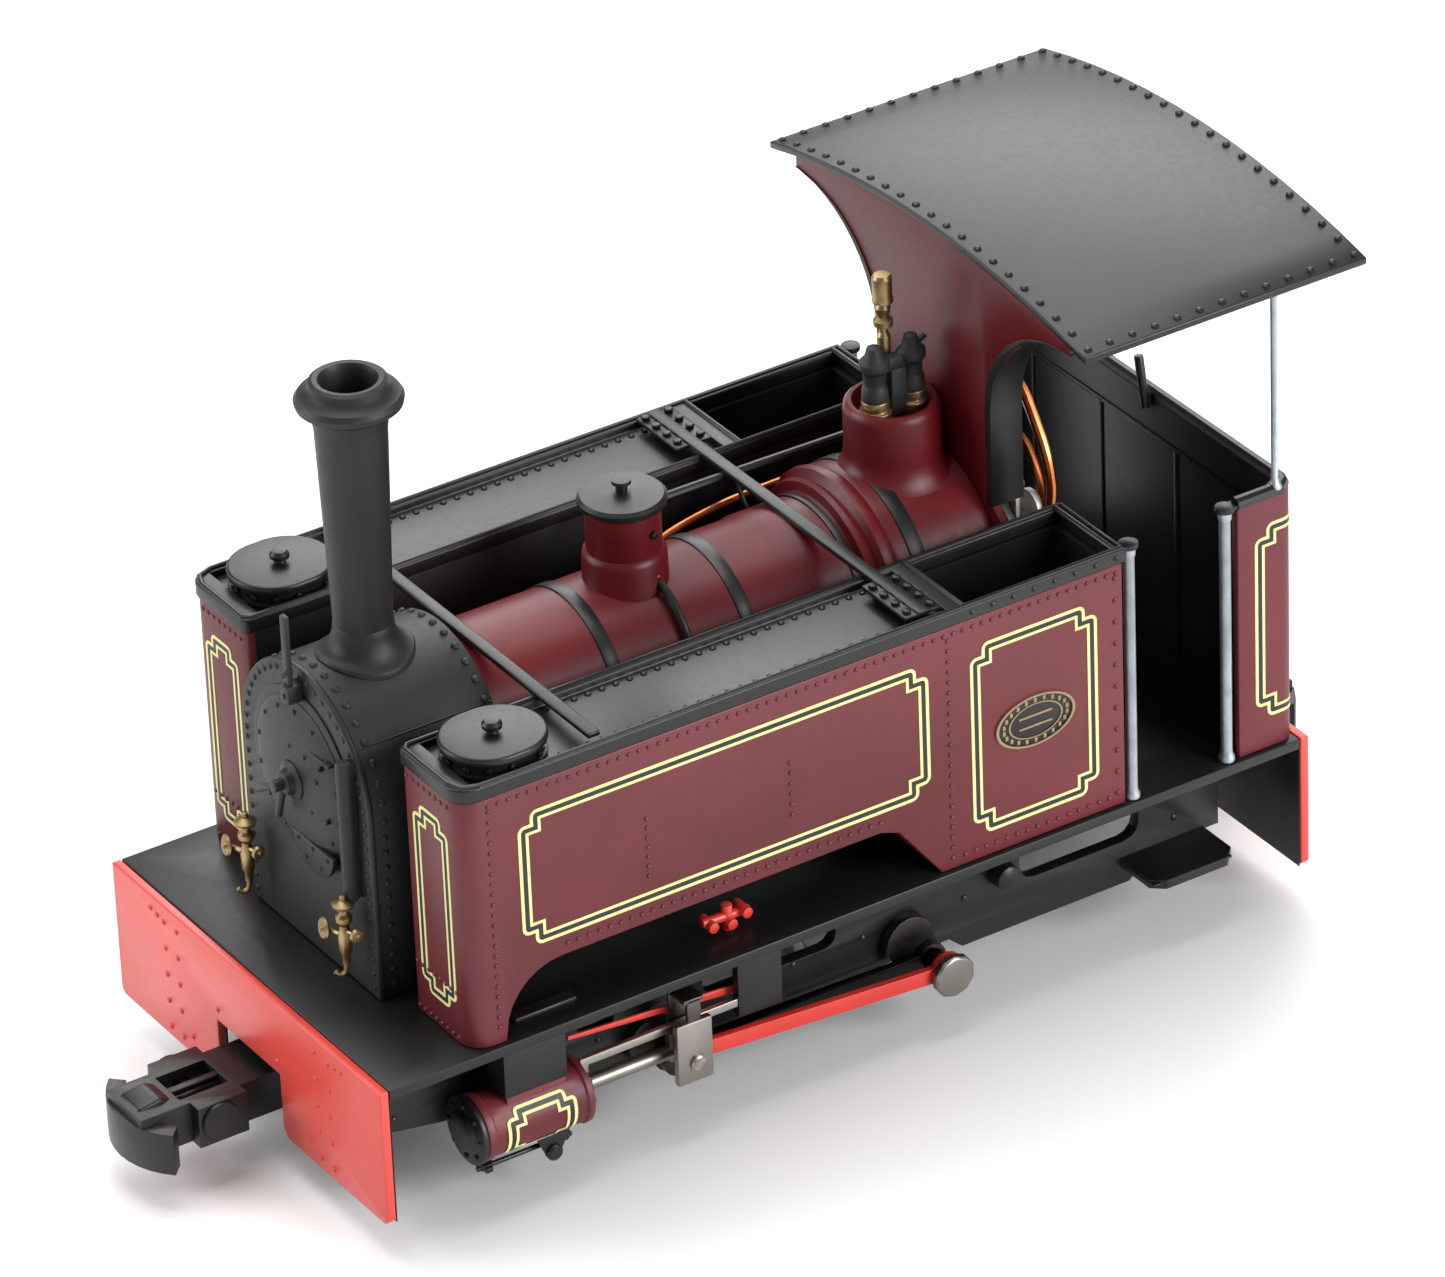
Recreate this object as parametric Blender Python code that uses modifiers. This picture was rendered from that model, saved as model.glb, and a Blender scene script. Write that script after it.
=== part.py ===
"""Narrow-gauge side-tank steam locomotive model, 0-4-0 with outside frames, for 9 mm gauge track.

All sizes are in millimetres and the helpers turn them into metres. A place is given as
(x, station, level): x is positive on the locomotive's left, station is the distance behind the
front beam's face, and level is the height above the top of the running plate. In the finished
scene the locomotive faces -Y, its left side is +X, and the wheel flanges stand on Z = 0.
"""

import math

import bmesh
import bpy
from mathutils import Matrix, Vector

MM = 0.001
SIDES = (("left", 1), ("right", -1))
ENDS = (("front", -1), ("rear", 1))

# Driving dimensions
BODY_LENGTH = 55.65  # over the two buffer beams
HALF_WIDTH = 13.0  # of the running plate and the beams
GAP = 0.06  # left between pieces that touch
TREAD_RADIUS = 4.3
FLANGE_RADIUS = 4.8
AXLE_LEVEL = -5.0
PLATE_HEIGHT = FLANGE_RADIUS - AXLE_LEVEL  # running plate's top above the flanges' lowest point
PLATE_THICKNESS = 0.6
UNDERSIDE = -PLATE_THICKNESS - GAP

# Beams
BEAM_DEPTH = 7.8
BEAM_THICKNESS = 0.5
NOTCH_HALF_WIDTH = 3.04
NOTCH_TOP = -4.2

# Couplers
HEAD_REACH = 7.6  # outside the beam's face
HEAD_RADIUS = 4.4
SHANK_LEVEL = (-7.15, -4.85)
HOOK_LEVEL = -5.9
HOOK_REACH = 3.2
COUPLER_PIVOT = 4.0  # behind the beam's face

# Wheels and motion, left side in x
FRONT_AXLE = 17.2
REAR_AXLE = 32.6
AXLE_RADIUS = 0.75
RUNNING_CLEARANCE = 0.07
PRESS_CLEARANCE = 0.03
WHEEL_BACK = 3.7
WHEEL_FACE = 5.9
CRANK_THROW = 1.5
LEFT_CRANK_ANGLE = math.radians(-49.0)  # in the station and level plane, from straight back
RIGHT_CRANK_ANGLE = LEFT_CRANK_ANGLE + math.radians(90.0)
CRANKPIN_RADIUS = 0.5
FRAME_X = (9.1, 9.8)
CRANK_X = (9.9, 10.5)
COUPLING_ROD_X = (10.6, 11.0)
FRONT_PIN_HEAD_X = (11.04, 11.24)
SLIDE_BAR_X = (11.62, 11.95)
CYLINDER_X = 11.65
CONNECTING_ROD_X = (12.1, 12.5)
SLAB_X = (12.65, 13.1)
STRAP_X = (11.33, 11.53)
BAR_UNDERSIDE = -3.75
BRIDGE_LEVEL = (-1.82, -1.45)  # clear of the connecting rod's front end at the top of its stroke
REAR_PIN_HEAD_X = (12.6, 13.1)

# Boiler
BOILER_LEVEL = 10.15
BOILER_RADIUS = 4.85
BOILER_WALL = 0.7
FIREBOX_RADIUS = 6.0
FIREBOX_START = 34.8
DOME_STATION = 39.3
SMOKEBOX_RADIUS = 6.0
SMOKEBOX_START = 4.6
SMOKEBOX_END = 12.4

# Tanks
TANK_OUTER = 12.74
TANK_INNER = 7.3
TANK_START = 5.5
TANK_END = 44.4
TANK_HEIGHT = 14.15
RIM_HEIGHT = 15.0
RIM_PROUD = 0.12
TANK_LID_LEVEL = 14.55  # the plating inside the rim

# Cab
SHEET_START = 41.9
SHEET_THICKNESS = 0.5
WAIST = 5.0
ROOF_START = 41.5
ROOF_END = 58.6
ROOF_HALF_WIDTH = 14.04
ROOF_CROWN = 29.1
ROOF_SAG = 1.7
ROOF_THICKNESS = 0.4
REAR_START = 51.5
REAR_END = 55.05
POST_X = 12.45

# Drive
MOTOR_LEVEL = -0.2
MOTOR_RADIUS = 3.0
GEAR_TEETH = 20
GEAR_RADIUS = 3.05
WORM_RADIUS = AXLE_LEVEL * -1 + MOTOR_LEVEL - GEAR_RADIUS - GAP
BLOCK_HALF_WIDTH = 3.5


def world(x, station, level):
    """The point in metres for a place on the locomotive."""
    return Vector((x, station - BODY_LENGTH / 2, level + PLATE_HEIGHT)) * MM


# Collections and materials


def make_collection(name):
    collection = bpy.data.collections.new(name)
    bpy.context.scene.collection.children.link(collection)
    return collection


for old in list(bpy.data.objects):
    bpy.data.objects.remove(old, do_unlink=True)
LOCOMOTIVE = make_collection("side_tank_locomotive")
CUTTERS = make_collection("cutters")
CUTTERS.hide_render = True


def finish(name, colour, roughness, metallic=0.0):
    """A Principled material."""
    material = bpy.data.materials.new(name)
    material.use_nodes = True
    shader = material.node_tree.nodes["Principled BSDF"]
    shader.inputs["Base Color"].default_value = (*colour, 1.0)
    shader.inputs["Roughness"].default_value = roughness
    shader.inputs["Metallic"].default_value = metallic
    return material


MAROON = finish("maroon_satin_paint", (0.085, 0.012, 0.016), 0.45)
BLACK = finish("black_satin_plastic", (0.012, 0.012, 0.013), 0.5)
SMOKEBOX_BLACK = finish("matt_smokebox_black", (0.018, 0.018, 0.019), 0.75)
RED = finish("red_satin_paint", (0.62, 0.02, 0.012), 0.4)
BRASS = finish("turned_brass", (0.55, 0.38, 0.12), 0.35, 1.0)
STEEL = finish("bright_steel", (0.45, 0.44, 0.42), 0.35, 1.0)
WIRE = finish("nickel_silver_wire", (0.48, 0.5, 0.53), 0.4, 1.0)
CASTING = finish("diecast_zinc", (0.12, 0.12, 0.13), 0.55, 0.6)
NYLON = finish("acetal_white", (0.75, 0.74, 0.7), 0.5)

# Shapes


def adopt(name, mesh, material):
    """A new object of the locomotive that holds the mesh."""
    mesh.materials.clear()
    mesh.materials.append(material)
    piece = bpy.data.objects.new(name, mesh)
    LOCOMOTIVE.objects.link(piece)
    return piece


def from_bmesh(name, shape, material):
    mesh = bpy.data.meshes.new(name)
    shape.to_mesh(mesh)
    shape.free()
    return adopt(name, mesh, material)


def block(name, x, station, level, material):
    """A box between pairs of x, station and level."""
    low = world(x[0], station[0], level[0])
    high = world(x[1], station[1], level[1])
    shape = bmesh.new()
    bmesh.ops.create_cube(shape, size=1.0)
    bmesh.ops.scale(shape, vec=high - low, verts=shape.verts)
    bmesh.ops.translate(shape, vec=(low + high) / 2, verts=shape.verts)
    return from_bmesh(name, shape, material)


def rod(name, start, end, radius, material, sides=16):
    """A round bar between two places."""
    start = world(*start)
    end = world(*end)
    along = end - start
    shape = bmesh.new()
    bmesh.ops.create_cone(
        shape,
        cap_ends=True,
        segments=sides,
        radius1=radius * MM,
        radius2=radius * MM,
        depth=along.length,
    )
    turn = Vector((0, 0, 1)).rotation_difference(along).to_matrix().to_4x4()
    bmesh.ops.transform(shape, matrix=Matrix.Translation((start + end) / 2) @ turn, verts=shape.verts)
    piece = from_bmesh(name, shape, material)
    return smooth(piece)


def smooth(piece):
    piece.data.shade_smooth()
    piece.data.set_sharp_from_angle(angle=math.radians(35))
    return piece


def arc(centre, radius, first, last, steps):
    """Points along an arc, from the first angle to the last, in degrees."""
    points = []
    for step in range(steps + 1):
        angle = math.radians(first + (last - first) * step / steps)
        points.append((centre[0] + radius * math.cos(angle), centre[1] + radius * math.sin(angle)))
    return points


def circle(centre, radius, steps=16):
    return arc(centre, radius, 0, 360 - 360 / steps, steps - 1)


def rectangle(low, high, radius=0.0, steps=3):
    """A rectangle's outline, with rounded corners if it has a radius."""
    if not radius:
        return [low, (high[0], low[1]), high, (low[0], high[1])]
    points = []
    points += arc((high[0] - radius, low[1] + radius), radius, -90, 0, steps)
    points += arc((high[0] - radius, high[1] - radius), radius, 0, 90, steps)
    points += arc((low[0] + radius, high[1] - radius), radius, 90, 180, steps)
    points += arc((low[0] + radius, low[1] + radius), radius, 180, 270, steps)
    return points


PLANES = {
    # across: where the outline's two coordinates and its thickness point
    "x": Matrix(((0, 0, 1), (1, 0, 0), (0, 1, 0))),
    "station": Matrix(((1, 0, 0), (0, 0, -1), (0, 1, 0))),
    "level": Matrix.Identity(3),
}


def prism(name, across, span, outlines, material):
    """A flat outline with its holes, as thick as the span, square to x, station or level.

    The outline's points are (station, level), (x, level) or (x, station) in that order.
    """
    curve = bpy.data.curves.new(name, "CURVE")
    curve.dimensions = "2D"
    curve.fill_mode = "BOTH"
    curve.extrude = abs(span[1] - span[0]) / 2 * MM
    for outline in outlines:
        spline = curve.splines.new("POLY")
        spline.points.add(len(outline) - 1)
        spline.use_cyclic_u = True
        for point, (u, v) in zip(spline.points, outline):
            point.co = (u * MM, v * MM, 0, 1)
    middle = (span[0] + span[1]) / 2
    places = {"x": (middle, 0, 0), "station": (0, middle, 0), "level": (0, 0, middle)}
    guide = bpy.data.objects.new(name + "_outline", curve)
    LOCOMOTIVE.objects.link(guide)
    guide.matrix_world = Matrix.Translation(world(*places[across])) @ PLANES[across].to_4x4()
    bpy.context.view_layer.update()
    evaluated = guide.evaluated_get(bpy.context.evaluated_depsgraph_get())
    mesh = bpy.data.meshes.new_from_object(evaluated)
    mesh.name = name
    mesh.transform(guide.matrix_world)
    bpy.data.objects.remove(guide, do_unlink=True)
    shape = bmesh.new()
    shape.from_mesh(mesh)
    bmesh.ops.remove_doubles(shape, verts=shape.verts, dist=1e-7)
    bmesh.ops.recalc_face_normals(shape, faces=shape.faces)
    shape.to_mesh(mesh)
    shape.free()
    return adopt(name, mesh, material)


UPRIGHT = (0, 0, 0)
FACING_FORWARD = (math.radians(90), 0, 0)  # a profile's top points to the front
FACING_LEFT = (0, math.radians(90), 0)  # a profile's top points to +X
FACING_RIGHT = (0, math.radians(-90), 0)


def turned(name, profile, place, turn, material, steps=20):
    """A turned piece from (radius, height) points that run down its outer side."""
    mesh = bpy.data.meshes.new(name)
    shape = bmesh.new()
    points = [shape.verts.new((radius * MM, 0, height * MM)) for radius, height in profile]
    closed = profile[0][0] > 0
    pairs = zip(points, points[1:] + points[:1]) if closed else zip(points, points[1:])
    for pair in pairs:
        shape.edges.new(pair)
    shape.to_mesh(mesh)
    shape.free()
    piece = adopt(name, mesh, material)
    piece.location = world(*place)
    piece.rotation_euler = turn
    screw = piece.modifiers.new("turning", "SCREW")
    screw.steps = steps
    screw.render_steps = steps
    screw.use_merge_vertices = True
    screw.merge_threshold = 1e-6
    screw.use_smooth_shade = True
    return piece


def boolean(piece, operation, others, solver):
    for other in others:
        modifier = piece.modifiers.new(operation.lower(), "BOOLEAN")
        modifier.operation = operation
        modifier.solver = solver
        modifier.object = other
        other.name = f"{piece.name}_{operation.lower()}_{len(piece.modifiers)}"
        LOCOMOTIVE.objects.unlink(other)
        CUTTERS.objects.link(other)
        other.hide_render = True
        other.display_type = "WIRE"
    return piece


def cut(piece, *others, solver="EXACT"):
    return boolean(piece, "DIFFERENCE", others, solver)


def unite(piece, *others, solver="EXACT"):
    return boolean(piece, "UNION", others, solver)


def keep_common(piece, *others):
    return boolean(piece, "INTERSECT", others, "EXACT")


def pivot(name, place):
    """An empty on a joint's axis, which moving pieces hang on."""
    empty = bpy.data.objects.new(name, None)
    empty.location = world(*place)
    empty.empty_display_size = 2 * MM
    LOCOMOTIVE.objects.link(empty)
    return empty


def hang(piece, empty):
    """Parents a piece to a pivot without moving it."""
    piece.parent = empty
    piece.matrix_parent_inverse = Matrix.Translation(-empty.location)


def span_of(side, x):
    """An x range on one side, lowest first."""
    return tuple(sorted((side * x[0], side * x[1])))


# Body structure


def round_topped(half_width, radius, bottom, steps=16):
    """An outline with upright sides and a half-round top round the boiler's centre."""
    return [(-half_width, bottom), (half_width, bottom)] + arc((0, BOILER_LEVEL), radius, 0, 180, steps)


def boiler_cutter(name, radius, station):
    """A cylinder round the boiler's centre that fits a mounting to the barrel."""
    radius += GAP
    profile = [(0, 8), (radius, 8), (radius, -8), (0, -8)]
    return turned(name, profile, (0, station, BOILER_LEVEL), FACING_FORWARD, BLACK, 32)


def make_beams():
    edge = 0.3
    half = [
        (NOTCH_HALF_WIDTH, NOTCH_TOP),
        (NOTCH_HALF_WIDTH, 0.5 - BEAM_DEPTH),
        (NOTCH_HALF_WIDTH + 0.5, -BEAM_DEPTH),
        (HALF_WIDTH - edge, -BEAM_DEPTH),
        (HALF_WIDTH, edge - BEAM_DEPTH),
        (HALF_WIDTH, 0),
    ]
    outline = half + [(-x, level) for x, level in reversed(half)]
    prism("front_beam", "station", (0, BEAM_THICKNESS), [outline], RED)
    prism("rear_beam", "station", (BODY_LENGTH - BEAM_THICKNESS, BODY_LENGTH), [outline], RED)


def make_running_plate():
    start = BEAM_THICKNESS + GAP
    edge = rectangle((-HALF_WIDTH, start), (HALF_WIDTH, BODY_LENGTH - start))
    well = rectangle((-6.1, 11.9), (6.1, 38.0), 0.8)
    prism("running_plate", "level", (-PLATE_THICKNESS, 0), [edge, well], BLACK)


def make_frames():
    edge = [(0.7, UNDERSIDE), (0.7, -4.6), (5.2, -5.4), (13.0, -6.3), (35.4, -6.3), (36.2, -7.0)]
    edge += [(46.6, -7.0), (48.0, -5.6), (52.2, -5.6), (52.2, UNDERSIDE)]
    openings = [
        rectangle((39.8, -4.5), (47.2, -1.6), 0.9),
        rectangle((20.6, -4.0), (28.6, -1.7), 0.7),
        rectangle((13.2, -3.6), (15.4, -1.7), 0.5),
    ]
    for axle in (FRONT_AXLE, REAR_AXLE):
        openings.append(circle((axle, AXLE_LEVEL), AXLE_RADIUS + RUNNING_CLEARANCE, 24))
    tread = [(9.3, 46.0), (12.4, 46.0), (13.0, 46.7), (13.0, 50.5), (12.3, 51.2), (9.3, 51.2)]
    for name, side in SIDES:
        frame = prism(f"frame_{name}", "x", span_of(side, FRAME_X), [edge] + openings, BLACK)
        step = [(side * x, station) for x, station in tread]
        unite(frame, prism("step", "level", (-5.9, -5.4), [step], BLACK))


def make_chassis_block():
    wide = (-BLOCK_HALF_WIDTH, BLOCK_HALF_WIDTH)
    top = MOTOR_LEVEL - 0.5
    edge = [(1.0, top), (1.0, -4.7), (12.6, -4.7), (13.4, -7.3), (36.8, -7.3), (37.6, -4.7), (54.65, -4.7)]
    edge += [(54.65, top)]
    casting = prism("chassis_block", "x", wide, [edge], CASTING)
    seat = AXLE_RADIUS + RUNNING_CLEARANCE
    slot = seat - 0.02
    cradle = MOTOR_RADIUS + 0.15
    reach = GEAR_RADIUS + 0.5
    cutters = [
        rod("cradle", (0, 12.5, MOTOR_LEVEL), (0, 28.2, MOTOR_LEVEL), cradle, BLACK, 24),
        block("gear_well", (-1.6, 1.6), (REAR_AXLE - reach, REAR_AXLE + reach), (-8, 1), BLACK),
        block("worm_well", (-2.2, 2.2), (28.0, 37.0), (-2.6, 1), BLACK),
    ]
    for axle in (FRONT_AXLE, REAR_AXLE):
        cutters.append(rod("axle_seat", (-4, axle, AXLE_LEVEL), (4, axle, AXLE_LEVEL), seat, BLACK, 24))
        cutters.append(block("axle_slot", (-5, 5), (axle - slot, axle + slot), (-8, AXLE_LEVEL), BLACK))
    for station in (COUPLER_PIVOT, BODY_LENGTH - COUPLER_PIVOT):
        cutters.append(rod("screw_hole", (0, station, -5), (0, station, -2.0), 0.56, BLACK))
    cut(casting, *cutters, solver="MANIFOLD")
    keeper = block("keeper_plate", (-3.4, 3.4), (13.6, 36.6), (-7.9, -7.3 - GAP), BLACK)
    cut(keeper, block("gear_window", (-1.5, 1.5), (REAR_AXLE - 3.2, REAR_AXLE + 3.2), (-9, -7), BLACK))
    for station, name in ((COUPLER_PIVOT, "front"), (BODY_LENGTH - COUPLER_PIVOT, "rear")):
        shank = rod(f"coupler_screw_{name}", (0, station, -7.4), (0, station, -2.1), 0.5, STEEL)
        unite(shank, rod("screw_head", (0, station, -7.8), (0, station, -7.25), 1.0, STEEL))


def make_drive():
    motor = rod("motor", (0, 12.7, MOTOR_LEVEL), (0, 27.4, MOTOR_LEVEL), MOTOR_RADIUS, STEEL, 24)
    unite(motor, rod("bearing_boss", (0, 27.0, MOTOR_LEVEL), (0, 28.0, MOTOR_LEVEL), 1.0, STEEL))
    empty = pivot("worm_axis", (0, REAR_AXLE, MOTOR_LEVEL))
    front, rear = (0, REAR_AXLE - 2.6, MOTOR_LEVEL), (0, REAR_AXLE + 2.6, MOTOR_LEVEL)
    worm = rod("worm", front, rear, WORM_RADIUS, BRASS)
    front, rear = (0, 28.1, MOTOR_LEVEL), (0, REAR_AXLE + 3.2, MOTOR_LEVEL)
    unite(worm, rod("worm_shaft", front, rear, 0.5, BRASS))
    hang(worm, empty)


def gear_outline(teeth, radius, depth):
    """A gear's outline in the station and level plane, four points to a tooth."""
    points = []
    for tooth in range(teeth):
        for part, reach in ((-0.3, -depth), (-0.15, 0), (0.15, 0), (0.3, -depth)):
            angle = 2 * math.pi * (tooth + part) / teeth
            points.append(
                (
                    REAR_AXLE + (radius + reach) * math.cos(angle),
                    AXLE_LEVEL + (radius + reach) * math.sin(angle),
                )
            )
    return points


def crank_pin(side, axle):
    """The crankpin's station and level on one side of an axle."""
    angle = LEFT_CRANK_ANGLE if side > 0 else RIGHT_CRANK_ANGLE
    return axle + CRANK_THROW * math.cos(angle), AXLE_LEVEL + CRANK_THROW * math.sin(angle)


def make_wheelsets():
    bore = AXLE_RADIUS + PRESS_CLEARANCE
    for end, axle in (("front", FRONT_AXLE), ("rear", REAR_AXLE)):
        empty = pivot(f"{end}_axle_axis", (0, axle, AXLE_LEVEL))
        right, left = (-CRANK_X[1], axle, AXLE_LEVEL), (CRANK_X[1], axle, AXLE_LEVEL)
        bar = rod(f"axle_{end}", right, left, AXLE_RADIUS, STEEL, 24)
        head = FRONT_PIN_HEAD_X if end == "front" else REAR_PIN_HEAD_X
        for _, side in SIDES:
            station, level = crank_pin(side, axle)
            web = prism("web", "x", span_of(side, CRANK_X), [circle((axle, AXLE_LEVEL), 1.4)], STEEL)
            eye = prism("eye", "x", span_of(side, CRANK_X), [circle((station, level), 0.95)], STEEL)
            inner, outer = side * (CRANK_X[0] + 0.2), side * (head[1] - 0.1)
            pin = rod("pin", (inner, station, level), (outer, station, level), CRANKPIN_RADIUS, STEEL)
            cap = 0.85 if end == "front" else 1.1
            inner, outer = side * head[0], side * head[1]
            nut = rod("nut", (inner, station, level), (outer, station, level), cap, STEEL)
            unite(bar, web, eye, pin, nut)
        hang(bar, empty)
        for name, side in SIDES:
            rim = [
                (bore, WHEEL_FACE + 0.3),
                (1.5, WHEEL_FACE + 0.3),
                (1.7, WHEEL_FACE - 0.5),
                (3.5, WHEEL_FACE - 0.5),
                (3.7, WHEEL_FACE),
                (TREAD_RADIUS - 0.05, WHEEL_FACE),
                (TREAD_RADIUS + 0.05, WHEEL_BACK + 0.7),
                (FLANGE_RADIUS - 0.1, WHEEL_BACK + 0.5),
                (FLANGE_RADIUS, WHEEL_BACK + 0.3),
                (FLANGE_RADIUS - 0.1, WHEEL_BACK),
                (bore, WHEEL_BACK),
            ]
            turn = FACING_LEFT if side > 0 else FACING_RIGHT
            hang(turned(f"wheel_{end}_{name}", rim, (0, axle, AXLE_LEVEL), turn, STEEL, 32), empty)
    bore_outline = circle((REAR_AXLE, AXLE_LEVEL), bore, 24)
    teeth = gear_outline(GEAR_TEETH, GEAR_RADIUS, 0.35)
    gear = prism("axle_gear", "x", (-1.0, 1.0), [teeth, bore_outline], NYLON)
    hang(gear, bpy.data.objects["rear_axle_axis"])


def link_outline(first, last, first_radius, last_radius, half_height):
    """A rod's outline between two pins: round ends and a straight shank."""
    run = Vector(last) - Vector(first)
    lean = math.degrees(math.atan2(run.y, run.x))
    first_open = math.degrees(math.asin(half_height / first_radius))
    last_open = math.degrees(math.asin(half_height / last_radius))
    points = arc(first, first_radius, lean + first_open, lean + 360 - first_open, 14)
    points += arc(last, last_radius, lean - 180 + last_open, lean + 180 - last_open, 14)
    return points


def make_rods():
    eye = CRANKPIN_RADIUS + RUNNING_CLEARANCE
    for name, side in SIDES:
        front = crank_pin(side, FRONT_AXLE)
        rear = crank_pin(side, REAR_AXLE)
        empty = pivot(f"crankpin_axis_{name}", (0, *rear))
        outline = link_outline(front, rear, 0.85, 0.85, 0.42)
        holes = [circle(front, eye), circle(rear, eye)]
        span = span_of(side, COUPLING_ROD_X)
        hang(prism(f"coupling_rod_{name}", "x", span, [outline] + holes, STEEL), empty)
        outline = link_outline(gudgeon(side), rear, 0.5, 1.0, 0.42)
        span = span_of(side, CONNECTING_ROD_X)
        hang(prism(f"connecting_rod_{name}", "x", span, [outline, circle(rear, eye)], RED), empty)


def gudgeon(side):
    """Where the connecting rod's small end lies at rest."""
    station, level = crank_pin(side, REAR_AXLE)
    length = 15.5
    return station - math.sqrt(length**2 - (level - AXLE_LEVEL) ** 2), AXLE_LEVEL


def make_cylinders():
    for name, side in SIDES:
        x = side * CYLINDER_X
        outside = [
            (0, 6.6),
            (0.9, 6.55),
            (1.0, 6.2),
            (1.8, 6.1),
            (1.8, 5.7),
            (1.7, 5.6),
            (1.7, 0.4),
            (1.8, 0.3),
            (1.8, 0),
            (0.7, -0.1),
            (0.7, -0.6),
            (0.42, -0.6),
            (0.42, 4.2),
            (0, 4.2),
        ]
        place = (x, 11.9, AXLE_LEVEL)
        cylinder = turned(f"cylinder_{name}", outside, place, FACING_FORWARD, MAROON)
        width = span_of(side, (FRAME_X[1] + GAP, 12.7))
        chest = block("chest", width, (7.3, 10.7), (-4.4, UNDERSIDE), BLACK)
        hollow = rod("piston_room", (x, 8.1, AXLE_LEVEL), (x, 13, AXLE_LEVEL), 0.42, BLACK)
        cut(unite(cylinder, chest), hollow)
        width = span_of(side, SLIDE_BAR_X)
        bar = block(f"slide_bar_{name}", width, (12.0, 22.0), (BAR_UNDERSIDE, -3.3), STEEL)
        hanger = block("hanger", width, (21.4, 22.6), (-4.3, UNDERSIDE), STEEL)
        foot = block("foot", width, (12.0, 12.5), (-4.2, -3.3), STEEL)
        unite(bar, hanger, foot)


def make_crossheads():
    for name, side in SIDES:
        pin, level = gudgeon(side)
        empty = pivot(f"crosshead_axis_{name}", (0, pin, AXLE_LEVEL))
        station = (pin - 0.9, pin + 0.9)
        width = span_of(side, (STRAP_X[0], SLIDE_BAR_X[1]))
        shoe = block(f"crosshead_{name}", width, station, (-5.6, BAR_UNDERSIDE - GAP), STEEL)
        strap = block("strap", span_of(side, STRAP_X), station, (-5.0, BRIDGE_LEVEL[0] + 0.1), STEEL)
        bridge = block("bridge", span_of(side, (STRAP_X[0], SLAB_X[1])), station, BRIDGE_LEVEL, STEEL)
        station = (pin - 1.0, pin + 1.0)
        slab = block("slab", span_of(side, SLAB_X), station, (-6.4, BRIDGE_LEVEL[1]), STEEL)
        head = rod("head", (side * 12.8, pin, level), (side * 13.35, pin, level), 0.45, STEEL)
        x = side * CYLINDER_X
        rear, front = (x, pin - 0.5, AXLE_LEVEL), (x, 10.9, AXLE_LEVEL)
        piston_rod = rod("piston_rod", rear, front, 0.3, STEEL)
        hang(unite(shoe, strap, bridge, slab, head, piston_rod), empty)


# Couplers


def outside(end, distance):
    """The station at this distance outside one end's beam face."""
    middle = BODY_LENGTH / 2
    return middle + end * (middle + distance)


def outside_span(end, near, far):
    """A station range between two distances outside one end's beam face."""
    return tuple(sorted((outside(end, near), outside(end, far))))


def make_couplers():
    for name, end in ENDS:
        pin = outside(end, -COUPLER_PIVOT)
        low, high = SHANK_LEVEL
        swing = pivot(f"coupler_axis_{name}", (0, pin, low))
        head = block(f"coupler_{name}", (-2.5, 2.5), outside_span(end, 1.6, 4.4), SHANK_LEVEL, BLACK)
        neck = block("neck", (-1.7, 1.7), outside_span(end, 4.2, 7.2), SHANK_LEVEL, BLACK)
        shank = block("shank", (-1.8, 1.8), outside_span(end, -3.2, 1.8), SHANK_LEVEL, BLACK)
        eye = rod("eye", (0, pin, low), (0, pin, high), 1.8, BLACK, 24)
        centre = (0, outside(end, HEAD_REACH - HEAD_RADIUS))
        outer = arc(centre, HEAD_RADIUS, 90 * end - 46, 90 * end + 46, 10)
        inner = arc(centre, HEAD_RADIUS - 0.9, 90 * end + 46, 90 * end - 46, 10)
        face = prism("face", "level", (low - 0.5, high - 0.45), [outer + inner], BLACK)
        unite(head, neck, shank, eye, face)
        window = block("window", (-1.2, 1.2), outside_span(end, 1.9, 4.7), (-9, -4), BLACK)
        hook_pin = outside(end, HOOK_REACH)
        right, left = (-3, hook_pin, HOOK_LEVEL), (3, hook_pin, HOOK_LEVEL)
        cross = rod("cross_hole", right, left, 0.5, BLACK)
        screw = rod("screw_hole", (0, pin, -9), (0, pin, -4), 0.6, BLACK)
        hang(cut(head, window, cross, screw), swing)
        lift = pivot(f"hook_axis_{name}", (0, hook_pin, HOOK_LEVEL))
        right, left = (-2.7, hook_pin, HOOK_LEVEL), (2.7, hook_pin, HOOK_LEVEL)
        hook = rod(f"coupler_hook_{name}", right, left, 0.42, STEEL)
        height = (HOOK_LEVEL - 0.3, HOOK_LEVEL + 0.4)
        tongue = block("tongue", (-0.5, 0.5), outside_span(end, 2.2, 4.6), height, STEEL)
        hang(unite(hook, tongue), lift)


# Boiler and its mountings


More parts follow.
